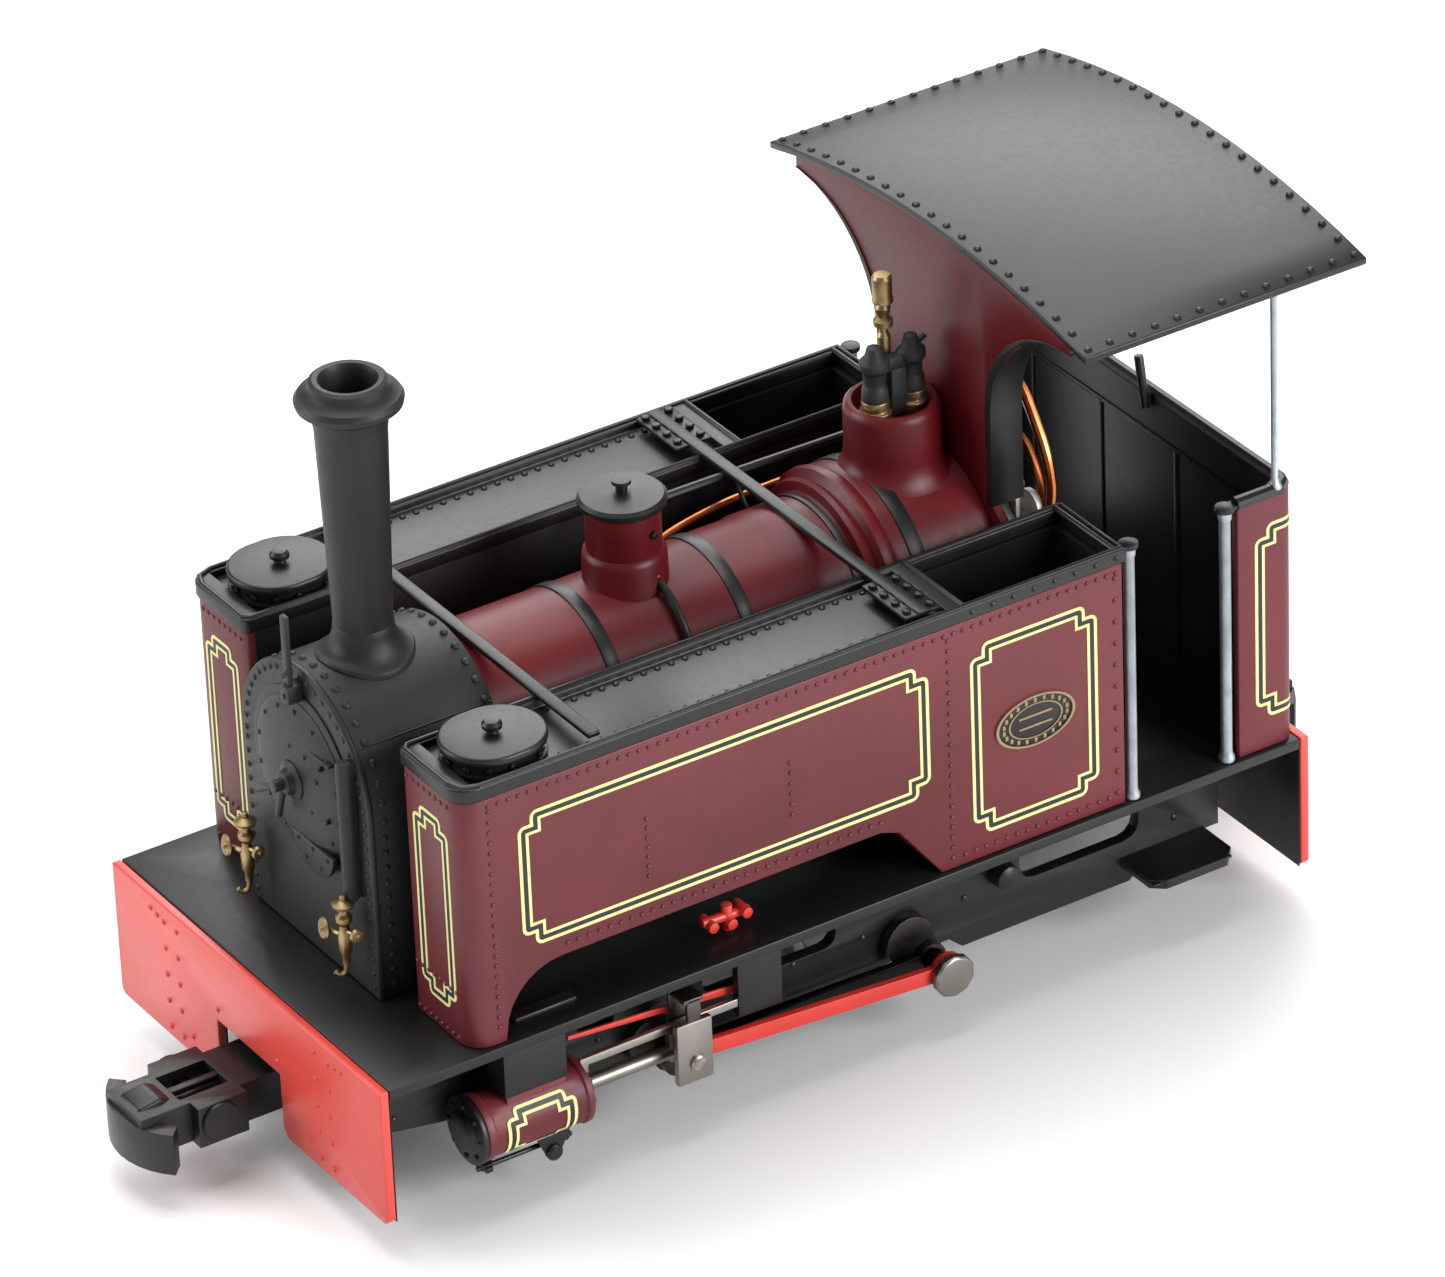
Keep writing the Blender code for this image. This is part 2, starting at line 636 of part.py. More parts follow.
def make_boiler():
    front = round_topped(SMOKEBOX_RADIUS, SMOKEBOX_RADIUS, GAP)
    prism("smokebox", "station", (SMOKEBOX_START, SMOKEBOX_END), [front], SMOKEBOX_BLACK)
    door = [(0, 1.1), (2.0, 0.95), (3.5, 0.55), (4.4, 0.15), (4.4, 0), (0, 0)]
    place = (0, SMOKEBOX_START - GAP, BOILER_LEVEL)
    turned("smokebox_door", door, place, FACING_FORWARD, SMOKEBOX_BLACK, 32)
    length = SHEET_START - GAP - SMOKEBOX_END - GAP
    step = SHEET_START - GAP - FIREBOX_START
    inner = BOILER_RADIUS - BOILER_WALL
    barrel = [
        (inner, length),
        (BOILER_RADIUS, length),
        (BOILER_RADIUS, step + 0.3),
        (FIREBOX_RADIUS, step),
        (FIREBOX_RADIUS, 0),
        (inner, 0),
    ]
    place = (0, SHEET_START - GAP, BOILER_LEVEL)
    turned("boiler", barrel, place, FACING_FORWARD, MAROON, 32)
    rod("ballast", (0, 13.0, BOILER_LEVEL), (0, 40.0, BOILER_LEVEL), inner - 0.1, CASTING, 24)


def make_chimney():
    profile = [
        (0, 27.0),
        (1.3, 27.0),
        (1.35, 30.3),
        (1.8, 31.2),
        (2.2, 31.3),
        (2.7, 30.7),
        (2.7, 30.2),
        (2.2, 29.7),
        (1.85, 29.0),
        (1.5, 18.2),
        (1.6, 17.5),
        (1.9, 16.8),
        (2.45, 16.3),
        (2.45, 15.0),
        (0, 15.0),
    ]
    chimney = turned("chimney", profile, (0, 8.1, 0), UPRIGHT, SMOKEBOX_BLACK, 24)
    cut(chimney, boiler_cutter("saddle", SMOKEBOX_RADIUS, 8.1))


def make_domes():
    profile = [
        (0, 20.4),
        (0.45, 20.3),
        (0.45, 19.85),
        (2.2, 19.6),
        (2.22, 19.1),
        (1.93, 19.0),
        (1.93, 16.4),
        (2.15, 16.2),
        (2.15, 13.5),
        (0, 13.5),
    ]
    sand_dome = turned("sand_dome", profile, (0, 23.2, 0), UPRIGHT, MAROON)
    cut(sand_dome, boiler_cutter("saddle", BOILER_RADIUS, 23.2))
    profile = [(0, 19.55), (1.7, 19.55), (2.3, 19.3), (2.5, 18.8), (2.5, 14.0), (0, 14.0)]
    dome = turned("steam_dome", profile, (0, DOME_STATION, 0), UPRIGHT, MAROON)
    cut(dome, boiler_cutter("saddle", FIREBOX_RADIUS, DOME_STATION))
    base = block("safety_valves", (-0.8, 0.8), (37.6, 41.0), (19.55 + GAP, 20.0), BLACK)
    column = [(0, 23.0), (0.35, 22.8), (0.35, 22.0), (0.62, 21.8), (0.55, 20.6), (0.7, 20.3)]
    column += [(0.7, 19.8), (0, 19.8)]
    for station in (38.3, 40.4):
        unite(base, turned("column", column, (0, station, 0), UPRIGHT, BLACK, 10))
    unite(base, block("lever", (-0.15, 0.15), (38.0, 40.7), (22.1, 22.5), BLACK))
    profile = [(0, 26.4), (0.5, 26.3), (0.5, 25.2), (0.2, 25.0), (0.45, 24.0), (0.2, 23.4)]
    profile += [(0.35, 20.6), (0.35, 20.05), (0, 20.05)]
    turned("whistle", profile, (-0.55, DOME_STATION, 0), UPRIGHT, BRASS, 12)


# Tanks


def tank_outline():
    """The tank's side, raised between its two feet."""
    points = [(TANK_START, GAP), (7.5, GAP)]
    points += arc((10.9, 0.4), 3.35, 165, 90, 6)
    points += [(29.6, 3.75), (30.7, 3.35), (33.2, GAP), (TANK_END, GAP)]
    return points + [(TANK_END, TANK_HEIGHT), (TANK_START, TANK_HEIGHT)]


def tank_plan(side, grow, steps=5):
    """The tank seen from above, with its front corners rounded."""
    low = (TANK_INNER - grow, TANK_START - grow)
    high = (TANK_OUTER + grow, TANK_END + grow)
    corner = 1.2
    points = arc((low[0] + 0.5, low[1] + 0.5), 0.5, 180, 270, 2)
    points += arc((high[0] - corner, low[1] + corner), corner, 270, 360, steps)
    points += [high, (low[0], high[1])]
    return [(side * x, station) for x, station in points]


def make_tanks():
    wide = (TANK_INNER - 1, TANK_OUTER + 1)
    for name, side in SIDES:
        tank = prism(f"tank_{name}", "x", span_of(side, wide), [tank_outline()], MAROON)
        keep_common(tank, prism("plan", "level", (-1, TANK_HEIGHT + 1), [tank_plan(side, 0)], BLACK))
        well = (TANK_INNER + 0.5, TANK_OUTER - 0.5)
        cut(tank, block("coal_well", span_of(side, well), (35.2, TANK_END - 0.7), (10.4, 16), BLACK))
        plan = tank_plan(side, RIM_PROUD)
        rim = prism(f"tank_top_{name}", "level", (TANK_HEIGHT + GAP, RIM_HEIGHT), [plan], BLACK)
        inside = span_of(side, (TANK_INNER + 0.35, TANK_OUTER - 0.35))
        cut(rim, block("recess", inside, (TANK_START + 1.0, 34.0), (TANK_LID_LEVEL, 16), BLACK))
        cut(rim, block("mouth", inside, (34.9, TANK_END - 0.4), (13, 16), BLACK))
        foot = TANK_LID_LEVEL + GAP
        lid = [(0, 16.5), (0.45, 16.4), (0.45, 15.95), (2.6, 15.8), (2.65, 15.4), (2.28, 15.3)]
        lid += [(2.28, foot), (0, foot)]
        turned(f"filler_lid_{name}", lid, (side * 10.0, 9.2, 0), UPRIGHT, BLACK)


def make_stays():
    width = (-12.3, 12.3)
    foot = RIM_HEIGHT + GAP
    block("stay_front", width, (13.2, 13.9), (foot, foot + 0.3), BLACK)
    rear = block("stay_rear", width, (32.4, 33.1), (foot, foot + 0.3), BLACK)
    for _, side in SIDES:
        unite(rear, block("pad", span_of(side, (8.4, 12.3)), (31.7, 33.8), (foot, foot + 0.2), BLACK))


# Cab


def roof_arc(offset, half_width, steps=12):
    """Points across the roof from left to right, this far above its upper surface."""
    radius = (ROOF_HALF_WIDTH**2 + ROOF_SAG**2) / (2 * ROOF_SAG)
    reach = math.degrees(math.asin(half_width / (radius + offset)))
    return arc((0, ROOF_CROWN - radius), radius + offset, 90 - reach, 90 + reach, steps)


def cab_side(offset):
    """Half of the front sheet's edge, from the floor up to the flare under the roof."""
    points = [(TANK_INNER - 0.3, GAP), (TANK_INNER - 0.3, 13.0), (WAIST, 14.6), (WAIST, 20.0)]
    flare = 7.2
    for step in range(1, 9):
        angle = math.radians(90 * step / 8)
        points.append((WAIST + flare * (1 - math.cos(angle)), 20.0 + 6.6 * math.sin(angle)))
    return [(x + offset, level) for x, level in points]


def make_cab():
    roof_low = -ROOF_THICKNESS - GAP
    side = cab_side(0)
    top = roof_arc(roof_low, 12.2)
    outline = side + top + [(-x, level) for x, level in reversed(side)]
    sheet_end = SHEET_START + SHEET_THICKNESS
    sheet = prism("cab_front", "station", (SHEET_START, sheet_end), [outline], MAROON)
    for _, hand in SIDES:
        edge = [(hand * x, level) for x, level in cab_side(-0.35)[3:]]
        outer = [(hand * x, level) for x, level in reversed(cab_side(0)[3:])]
        station = (SHEET_START + 0.1, SHEET_START + 1.7)
        unite(sheet, prism("flange", "station", station, [edge + outer], BLACK))
    underside = roof_arc(-ROOF_THICKNESS, ROOF_HALF_WIDTH - 0.02)
    roof = roof_arc(0, ROOF_HALF_WIDTH) + list(reversed(underside))
    prism("cab_roof", "station", (ROOF_START, ROOF_END), [roof], BLACK)
    outer = [(TANK_OUTER, REAR_START), (TANK_OUTER, REAR_END - 0.8)]
    outer += arc((TANK_OUTER - 0.8, REAR_END - 0.8), 0.8, 0, 90, 4)
    inner = [(x - 0.5, station - 0.5) for x, station in outer[1:]]
    half = [(TANK_OUTER - 0.5, REAR_START)] + [outer[0]] + outer[1:]
    plan = half + [(-x, station) for x, station in reversed(half)]
    plan += [(-x, station) for x, station in inner]
    plan += list(reversed(inner))
    prism("cab_rear", "level", (GAP, RIM_HEIGHT), [plan], MAROON)
    backhead = round_topped(5.4, 5.4, GAP)
    prism("backhead", "station", (sheet_end + GAP, sheet_end + 1.3), [backhead], BLACK)


def make_posts():
    for name, side in SIDES:
        x = side * POST_X
        eave = ROOF_CROWN - ROOF_SAG * (POST_X / ROOF_HALF_WIDTH) ** 2 - ROOF_THICKNESS
        foot, head = (x, 54.0, RIM_HEIGHT + GAP), (x, 54.0, eave - 2 * GAP)
        rod(f"roof_pillar_{name}", foot, head, 0.22, WIRE, 12)
        for place, station in (("front", TANK_END + 0.6), ("rear", REAR_START - 0.6)):
            foot, head = (x, station, GAP), (x, station, RIM_HEIGHT - 0.2)
            rod(f"handrail_{place}_{name}", foot, head, 0.32, WIRE, 12)


make_beams()
make_running_plate()
make_frames()
make_chassis_block()
make_drive()
make_wheelsets()
make_rods()
make_cylinders()
make_crossheads()
make_couplers()
make_boiler()
make_chimney()
make_domes()
make_tanks()
make_stays()
make_cab()
make_posts()
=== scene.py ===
"""Narrow-gauge side-tank locomotive at 1:76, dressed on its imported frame.

Places are given as (x, station, level) in millimetres: x to the left-hand side, station back from
the front beam's face, level above the running plate.
"""

import logging
import math
from dataclasses import dataclass
from enum import Enum
from typing import Any, Callable, Iterable, Sequence

import bmesh
import bpy
from mathutils import Matrix, Vector


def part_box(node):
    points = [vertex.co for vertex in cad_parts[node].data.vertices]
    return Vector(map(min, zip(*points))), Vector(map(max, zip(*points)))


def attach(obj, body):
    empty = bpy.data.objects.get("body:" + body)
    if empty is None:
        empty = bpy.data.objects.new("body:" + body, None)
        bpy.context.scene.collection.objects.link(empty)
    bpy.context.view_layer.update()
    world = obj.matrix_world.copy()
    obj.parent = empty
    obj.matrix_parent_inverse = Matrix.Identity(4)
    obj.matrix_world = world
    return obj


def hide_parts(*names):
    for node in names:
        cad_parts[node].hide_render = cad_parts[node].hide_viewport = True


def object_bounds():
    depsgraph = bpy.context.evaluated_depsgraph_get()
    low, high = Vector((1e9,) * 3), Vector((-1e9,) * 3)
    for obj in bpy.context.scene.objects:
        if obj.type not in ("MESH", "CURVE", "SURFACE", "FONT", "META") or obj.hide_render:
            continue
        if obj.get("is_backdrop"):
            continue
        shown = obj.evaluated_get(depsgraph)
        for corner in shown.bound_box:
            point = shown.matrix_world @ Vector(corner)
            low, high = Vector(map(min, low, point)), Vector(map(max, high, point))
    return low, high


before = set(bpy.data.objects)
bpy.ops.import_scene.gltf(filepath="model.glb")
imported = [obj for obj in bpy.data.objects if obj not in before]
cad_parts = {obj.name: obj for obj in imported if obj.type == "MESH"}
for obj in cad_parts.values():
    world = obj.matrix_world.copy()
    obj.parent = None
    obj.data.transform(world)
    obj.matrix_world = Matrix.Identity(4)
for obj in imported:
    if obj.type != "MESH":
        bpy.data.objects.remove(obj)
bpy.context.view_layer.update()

MM = 0.001
FRONT_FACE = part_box("front_beam")[0].y
PLATE_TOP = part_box("running_plate")[1].z
ENGINE = "locomotive"
LOG = logging.getLogger(ENGINE)

REAR_FACE = 55.65  # station of the rear beam's face
AXLES = (17.2, 32.6)  # stations of the front and the rear axle
AXLE_LEVEL = -5.0
CYLINDER_X = 11.65
BOILER_LEVEL = 10.15
CRISP = math.radians(32)  # edges sharper than this are not shaded smooth

Point = tuple[float, float, float]
Profile = Sequence[tuple[float, float]]


class Side(Enum):
    """The two hands of the locomotive, seen from the cab looking forward."""

    LEFT = 1
    RIGHT = -1

    @property
    def word(self) -> str:
        """The side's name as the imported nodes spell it."""
        return self.name.lower()


class Way(Enum):
    """Directions that a fitting can face."""

    UP = Vector((0, 0, 1))
    AHEAD = Vector((0, -1, 0))
    ASTERN = Vector((0, 1, 0))
    LEFTWARD = Vector((1, 0, 0))

    @classmethod
    def outward(cls, side: Side) -> Vector:
        """The direction away from the centre line on one side."""
        return Vector((side.value, 0, 0))


class End(Enum):
    """The two ends of the locomotive."""

    FRONT = -1
    REAR = 1

    @property
    def word(self) -> str:
        """The end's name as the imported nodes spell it."""
        return self.name.lower()

    @property
    def station(self) -> float:
        """Where this end's beam face is."""
        return 0.0 if self is End.FRONT else REAR_FACE

    @property
    def outward(self) -> Vector:
        """The direction away from the middle of the locomotive."""
        return Way.AHEAD.value if self is End.FRONT else Way.ASTERN.value


def place(x: float, station: float, level: float) -> Vector:
    """A place on the locomotive, given in millimetres, in the frame's own metres."""
    return Vector((x * MM, FRONT_FACE + station * MM, PLATE_TOP + level * MM))


def linear(colour: str) -> tuple[float, float, float, float]:
    """Turn an sRGB hex colour into the linear values that shaders take.

    Args:
        colour: six hex digits after a hash.

    Returns:
        Linear red, green and blue, and a full alpha.
    """
    shares = [int(colour[i : i + 2], 16) / 255 for i in (1, 3, 5)]
    light = [c / 12.92 if c <= 0.04045 else ((c + 0.055) / 1.055) ** 2.4 for c in shares]
    return (light[0], light[1], light[2], 1.0)


def add_node(
    tree: bpy.types.NodeTree,
    kind: str,
    links: dict[Any, bpy.types.NodeSocket] | None = None,
    inputs: dict[Any, Any] | None = None,
    **settings: Any,
) -> bpy.types.Node:
    """Add one shader node with its settings and links.

    Args:
        tree: the material's node tree.
        kind: the node's type name without its ShaderNode prefix.
        links: output sockets to join to the node's inputs, by input name or number.
        inputs: constants for the node's inputs, by input name or number.
        **settings: the node's own properties.

    Returns:
        The new node.
    """
    node = tree.nodes.new("ShaderNode" + kind)
    for key, value in settings.items():
        setattr(node, key, value)
    for key, value in (inputs or {}).items():
        node.inputs[key].default_value = value
    for key, socket in (links or {}).items():
        tree.links.new(socket, node.inputs[key])
    return node


@dataclass(frozen=True)
class Finish:
    """One finish: what it is made of, how its surface was made, and the painted highlight on its
    edges.

    Attributes:
        name: the finish's plain name.
        slot: the record's material slot that it belongs to; not used.
        base: its colour, as sRGB hex.
        shade: the second tone that its slow variation drifts to.
        edge: the tone that sharp edges go to: partly wear, partly a painted highlight.
        roughness: its typical roughness.
        metallic: 1 for bare metal.
        ior: index of refraction, left at the shader's default on metals.
        coat: weight of the lacquer over it.
        drift_mm: size of the slow variation.
        grain_mm: size of the fine texture, drawn as coarse as it needs to show.
        drawn: stretch of the grain along x, station and level, for brushed or turned work.
        bump: strength of the grain.
        worn: how far edges go to the edge tone.
    """

    name: str
    slot: str
    base: str
    shade: str
    edge: str
    roughness: float
    metallic: float = 0.0
    ior: float = 1.5
    coat: float = 0.0
    drift_mm: float = 5.0
    grain_mm: float = 0.3
    drawn: Point = (1.0, 1.0, 1.0)
    bump: float = 0.12
    worn: float = 0.35

    def material(self) -> bpy.types.Material:
        """Make the finish as a node material, once, and share it after that.

        Returns:
            The material.
        """
        found = bpy.data.materials.get(self.name)
        if found:
            return found
        made = bpy.data.materials.new(self.name)
        made.use_nodes = True
        tree = made.node_tree
        tree.nodes.clear()
        spots = add_node(tree, "TexCoord").outputs["Object"]
        slow = [1 / (self.drift_mm * MM)] * 3
        fine = [1 / (self.grain_mm * MM * stretch) for stretch in self.drawn]
        wide = add_node(tree, "Mapping", {"Vector": spots}, {"Scale": slow})
        close = add_node(tree, "Mapping", {"Vector": spots}, {"Scale": fine})
        cloud = add_node(tree, "TexNoise", {"Vector": wide.outputs[0]},
                         {"Scale": 1.0, "Detail": 3.0})
        grain = add_node(tree, "TexNoise", {"Vector": close.outputs[0]},
                         {"Scale": 1.0, "Detail": 2.0})
        drift = add_node(tree, "MapRange", {"Value": cloud.outputs[0]},
                         {"From Min": 0.35, "From Max": 0.65})
        body = add_node(tree, "Mix", {0: drift.outputs[0]},
                        {6: linear(self.base), 7: linear(self.shade)}, data_type="RGBA")
        # Sharp edges go towards the edge tone: partly wear, partly a painted highlight.
        edges = add_node(tree, "NewGeometry").outputs["Pointiness"]
        corners = add_node(tree, "MapRange", {"Value": edges},
                           {"From Min": 0.53, "From Max": 0.62, "To Max": self.worn})
        tone = add_node(tree, "Mix", {0: corners.outputs[0], 6: body.outputs[2]},
                        {7: linear(self.edge)}, data_type="RGBA")
        sheen = add_node(tree, "MapRange", {"Value": grain.outputs[0]},
                         {"From Min": 0.3, "From Max": 0.7, "To Min": self.roughness - 0.03,
                          "To Max": self.roughness + 0.03})
        relief = add_node(tree, "Bump", {"Height": grain.outputs[0]},
                          {"Strength": self.bump, "Distance": 0.1 * self.grain_mm * MM})
        surface = add_node(
            tree, "BsdfPrincipled",
            {"Base Color": tone.outputs[2], "Roughness": sheen.outputs[0],
             "Normal": relief.outputs[0]},
            {"Metallic": self.metallic, "IOR": self.ior, "Coat Weight": self.coat,
             "Coat Roughness": 0.35},
        )
        add_node(tree, "OutputMaterial", {"Surface": surface.outputs[0]})
        return made


# Each finish's third colour is its edge tone: partly wear, partly a painted highlight.
# Satin lacquer sprayed over maroon plastic: a broad soft sheen that pales the faces to the light.
# Its base is paler and greyer than the boiler's copy of the same maroon, a painted reflection haze,
# and its edges carry a painted highlight.
MAROON = Finish(
    "maroon_satin_lacquer", "maroon_satin_paint", "#5c1a21", "#52161c", "#84363b", 0.44, ior=1.45
)
# The same maroon lacquer with a tighter sheen, on the boiler, its domes and the cab front: a
# deeper, redder copy whose colour is painted shade, beside the paler tanks' copy.
CRIMSON = Finish(
    "maroon_polished_lacquer", "maroon_satin_paint", "#580f13", "#4e0c10", "#80282a", 0.38, ior=1.36
)
# Black plastic with a satin spray: it reads as dark grey on top, and its edges carry a faint
# painted highlight.
BLACK = Finish(
    "black_satin_spray", "black_satin_plastic", "#141415", "#101011", "#3f3f41", 0.38, ior=1.44,
    bump=0.03, worn=0.05,
)
# Matt black spray: dry and even, with no sheen to speak of and a fine powdery grain; its edges
# carry a painted highlight of paler grey.
SOOT = Finish(
    "matt_black_spray", "matt_smokebox_black", "#1c1c1d", "#181819", "#3e3e40", 0.5, ior=1.4,
    bump=0.2,
)
# Black paint in a deep place, kept darker because the spray doesn't reach it.
DEEP = Finish(
    "black_unsprayed_plastic", "black_satin_plastic", "#19191a", "#131314", "#333335", 0.6
)
# Satin red enamel, paler at the edges: a painted highlight.
RED = Finish("red_satin_enamel", "red_satin_paint", "#cc2a1e", "#c0231a", "#ef6a5e", 0.4, coat=0.3)
# Brass turned on a lathe and lacquered: yellow-brown, broken by fine turning rings.
BRASS = Finish(
    "turned_lacquered_brass", "turned_brass", "#a08a62", "#866f4a", "#cdbb92", 0.42, 1.0,
    drift_mm=1.2, grain_mm=0.15, drawn=(1.0, 1.0, 0.3), bump=0.25,
)
# Copper wire, bright and orange with browner stretches.
COPPER = Finish(
    "drawn_copper_wire", "turned_brass", "#c0703f", "#9a4f2a", "#e09a6a", 0.3, 1.0, drift_mm=1.5
)
# Nickel-plated steel pressings: pale grey with a soft brushed run along their length.
STEEL = Finish(
    "plated_steel_pressing", "bright_steel", "#8f8a84", "#77726c", "#c9c5be", 0.38, 1.0,
    grain_mm=0.2, drawn=(1.0, 6.0, 1.0), bump=0.2,
)
# Steel shown nearly black, with brighter edges.
OILED = Finish(
    "oil_blackened_steel", "bright_steel", "#2c2a29", "#222120", "#8a857f", 0.4, 1.0, worn=0.7
)
# Etched brass plate, its field painted: tan metal on the raised rim and marks.
ETCHED = Finish("etched_brass", "turned_brass", "#8f7a5c", "#77644a", "#b5a17e", 0.5, 0.6)
# Steel tyres rolled bright and left bare.
TYRE = Finish("rolled_steel_tyre", "bright_steel", "#77777a", "#616164", "#b9b9bb", 0.3, 1.0)
# Nickel-silver wire, pickled: cold, pale and dry, with a pebbled skin.
WIRE = Finish(
    "drawn_nickel_silver", "nickel_silver_wire", "#adb4ba", "#959ca2", "#d6dbdf", 0.5, 1.0,
    drift_mm=1.5, grain_mm=0.25, bump=0.8,
)
# Zinc die casting, tumbled: dull grey, grainy from the mould.
ZINC = Finish(
    "tumbled_zinc_casting", "diecast_zinc", "#5c5d60", "#4b4c4f", "#8f9093", 0.5, 0.8, bump=0.3
)
# Moulded acetal gear: waxy off-white.
ACETAL = Finish("moulded_acetal", "acetal_white", "#e6e3d9", "#dcd8cc", "#f4f2ea", 0.45)
# Printed cream lining: thin flat ink with a dead satin face.
CREAM = Finish("cream_lining_ink", "maroon_satin_paint", "#d9d48a", "#cfc97c", "#e6e2a6", 0.55)
# Printed black between the cream lines.
INK = Finish("black_lining_ink", "maroon_satin_paint", "#141413", "#10100f", "#232321", 0.5)
# White enamel on the gauge faces.
ENAMEL = Finish("white_gauge_enamel", "acetal_white", "#e9e9e4", "#dcdcd6", "#f5f5f2", 0.3)


def stood(spot: Vector, facing: Vector, size: Point = (1.0, 1.0, 1.0)) -> Matrix:
    """The transform that stands a shape drawn in millimetres on a spot, its height facing a way."""
    turn = Way.UP.value.rotation_difference(facing).to_matrix().to_4x4()
    return Matrix.Translation(spot) @ turn @ Matrix.Diagonal((*(s * MM for s in size), 1.0))


def drum(radius: float, height: float) -> Profile:
    """The lathe profile of a plain cylinder."""
    return [(0, 0), (radius, 0), (radius, height), (0, height)]


def strip(*outlines: Sequence[Point]) -> tuple[bmesh.types.BMesh, list[bmesh.types.BMFace]]:
    """Make a shell from the strip between two outlines of as many corners each.

    Args:
        *outlines: the two outlines.

    Returns:
        The shell and its faces.
    """
    shell = bmesh.new()
    for outline in outlines:
        ring = [shell.verts.new(place(*corner)) for corner in outline]
        for pair in zip(ring, ring[1:] + ring[:1]):
            shell.edges.new(pair)
    return shell, bmesh.ops.bridge_loops(shell, edges=shell.edges[:])["faces"]


class Shape:
    """One piece in the making: closed shells gathered in a single mesh, in metres."""

    def __init__(self) -> None:
        """Start with no shell."""
        self.mesh = bmesh.new()

    def absorb(self, shell: bmesh.types.BMesh, turn: Matrix | None = None, bevel: float = 0.0,
               segments: int = 2) -> "Shape":
        """Soften a shell's sharp edges and add it to the piece.

        Args:
            shell: the shell, which is used up.
            turn: where the shell goes.
            bevel: width of the softened edges in millimetres.
            segments: how many faces cross a softened edge.

        Returns:
            The piece itself.
        """
        if turn:
            shell.transform(turn)
        bmesh.ops.recalc_face_normals(shell, faces=shell.faces[:])
        if bevel:
            sharp = [e for e in shell.edges if e.is_manifold and e.calc_face_angle(0) > 0.5]
            bmesh.ops.bevel(
                shell, geom=sharp, offset=bevel * MM, offset_type="OFFSET", segments=segments,
                profile=0.5, affect="EDGES", clamp_overlap=True, material=-1,
            )
        carrier = bpy.data.meshes.new("carrier")
        shell.to_mesh(carrier)
        shell.free()
        self.mesh.from_mesh(carrier)
        bpy.data.meshes.remove(carrier)
        return self

    def turned(self, profile: Profile, origin: Point, facing: Vector = Way.UP.value,
               steps: int = 40, bevel: float = 0.0, closed: bool = False,
               reshape: Callable[[Vector], None] | None = None) -> "Shape":
        """Add a shell turned on a lathe.

        Args:
            profile: (radius, height) pairs in millimetres, from pole to pole.
            origin: where height 0 is.
            facing: which way heights run.
            steps: faces around the turn.
            bevel: width of the softened edges in millimetres.
            closed: join the profile's ends, for a ring.
            reshape: a last change to each point, in millimetres about the origin.

        Returns:
            The piece itself.
        """
        shell = bmesh.new()
        verts = [shell.verts.new((radius, 0, height)) for radius, height in profile]
        pairs = list(zip(verts, verts[1:])) + ([(verts[-1], verts[0])] if closed else [])
        edges = [shell.edges.new(pair) for pair in pairs]
        bmesh.ops.spin(shell, geom=verts + edges, cent=(0, 0, 0), axis=(0, 0, 1), dvec=(0, 0, 0),
                       angle=math.tau, steps=steps, use_merge=True, use_duplicate=False)
        bmesh.ops.remove_doubles(shell, verts=shell.verts[:], dist=1e-4)
        if reshape:
            for vert in shell.verts:
                reshape(vert.co)
        return self.absorb(shell, stood(place(*origin), facing), bevel)

    def block(self, one: Point, other: Point, bevel: float = 0.05) -> "Shape":
        """Add a squared block with softened edges.

        Args:
            one: one of its corners.
            other: the corner farthest from that one.
            bevel: width of the softened edges in millimetres.

        Returns:
            The piece itself.
        """
        first, last = place(*one), place(*other)
        size = [abs(b - a) for a, b in zip(first, last)]
        shell = bmesh.new()
        bmesh.ops.create_cube(shell, size=1.0)
        scale = Matrix.Diagonal((*size, 1.0))
        return self.absorb(shell, Matrix.Translation((first + last) / 2) @ scale, bevel)

    def plate(self, outline: Iterable[Point], depth: Point, bevel: float = 0.04,
              segments: int = 2) -> "Shape":
        """Add a plate cut to an outline.

        Args:
            outline: its corners, in order.
            depth: the push that gives it its thickness, in millimetres.
            bevel: width of the softened edges in millimetres.
            segments: how many faces cross a softened edge.

        Returns:
            The piece itself.
        """
        shell = bmesh.new()
        face = shell.faces.new([shell.verts.new(place(*corner)) for corner in outline])
        return self.thickened(shell, [face], depth, bevel, segments)

    def thickened(self, shell: bmesh.types.BMesh, faces: list[bmesh.types.BMFace], depth: Point,
                  bevel: float = 0.0, segments: int = 2) -> "Shape":
        """Push a flat shell out to a solid and add it.

        Args:
            shell: the shell, which is used up.
            faces: its faces.
            depth: the push, in millimetres.
            bevel: width of the softened edges in millimetres.
            segments: how many faces cross a softened edge.

        Returns:
            The piece itself.
        """
        pushed = bmesh.ops.extrude_face_region(shell, geom=faces)["geom"]
        moved = [item for item in pushed if isinstance(item, bmesh.types.BMVert)]
        bmesh.ops.translate(shell, verts=moved, vec=Vector(depth) * MM)
        return self.absorb(shell, None, bevel, segments)

    def band(self, outer: Sequence[Point], inner: Sequence[Point], depth: Point) -> "Shape":
        """Add a flat ring between two outlines of as many corners each.

        Args:
            outer: the outer outline.
            inner: the inner outline.
            depth: the push that gives it its thickness, in millimetres.

        Returns:
            The piece itself.
        """
        return self.thickened(*strip(outer, inner), depth)

    def printed(self, outer: Sequence[Point], inner: Sequence[Point]) -> "Shape":
        """Add a thin printed line that follows a curved surface.

        Args:
            outer: the line's outer edge.
            inner: the line's inner edge.

        Returns:
            The piece itself.
        """
        shell, made = strip(outer, inner)
        bmesh.ops.recalc_face_normals(shell, faces=made)
        bmesh.ops.solidify(shell, geom=made, thickness=0.02 * MM)
        return self.absorb(shell)

    def rod(self, start: Point, end: Point, radius: float, steps: int = 16,
            bevel: float = 0.06) -> "Shape":
        """Add a straight round rod with softened ends."""
        run = place(*end) - place(*start)
        return self.turned(drum(radius, run.length / MM), start, run, steps, bevel)

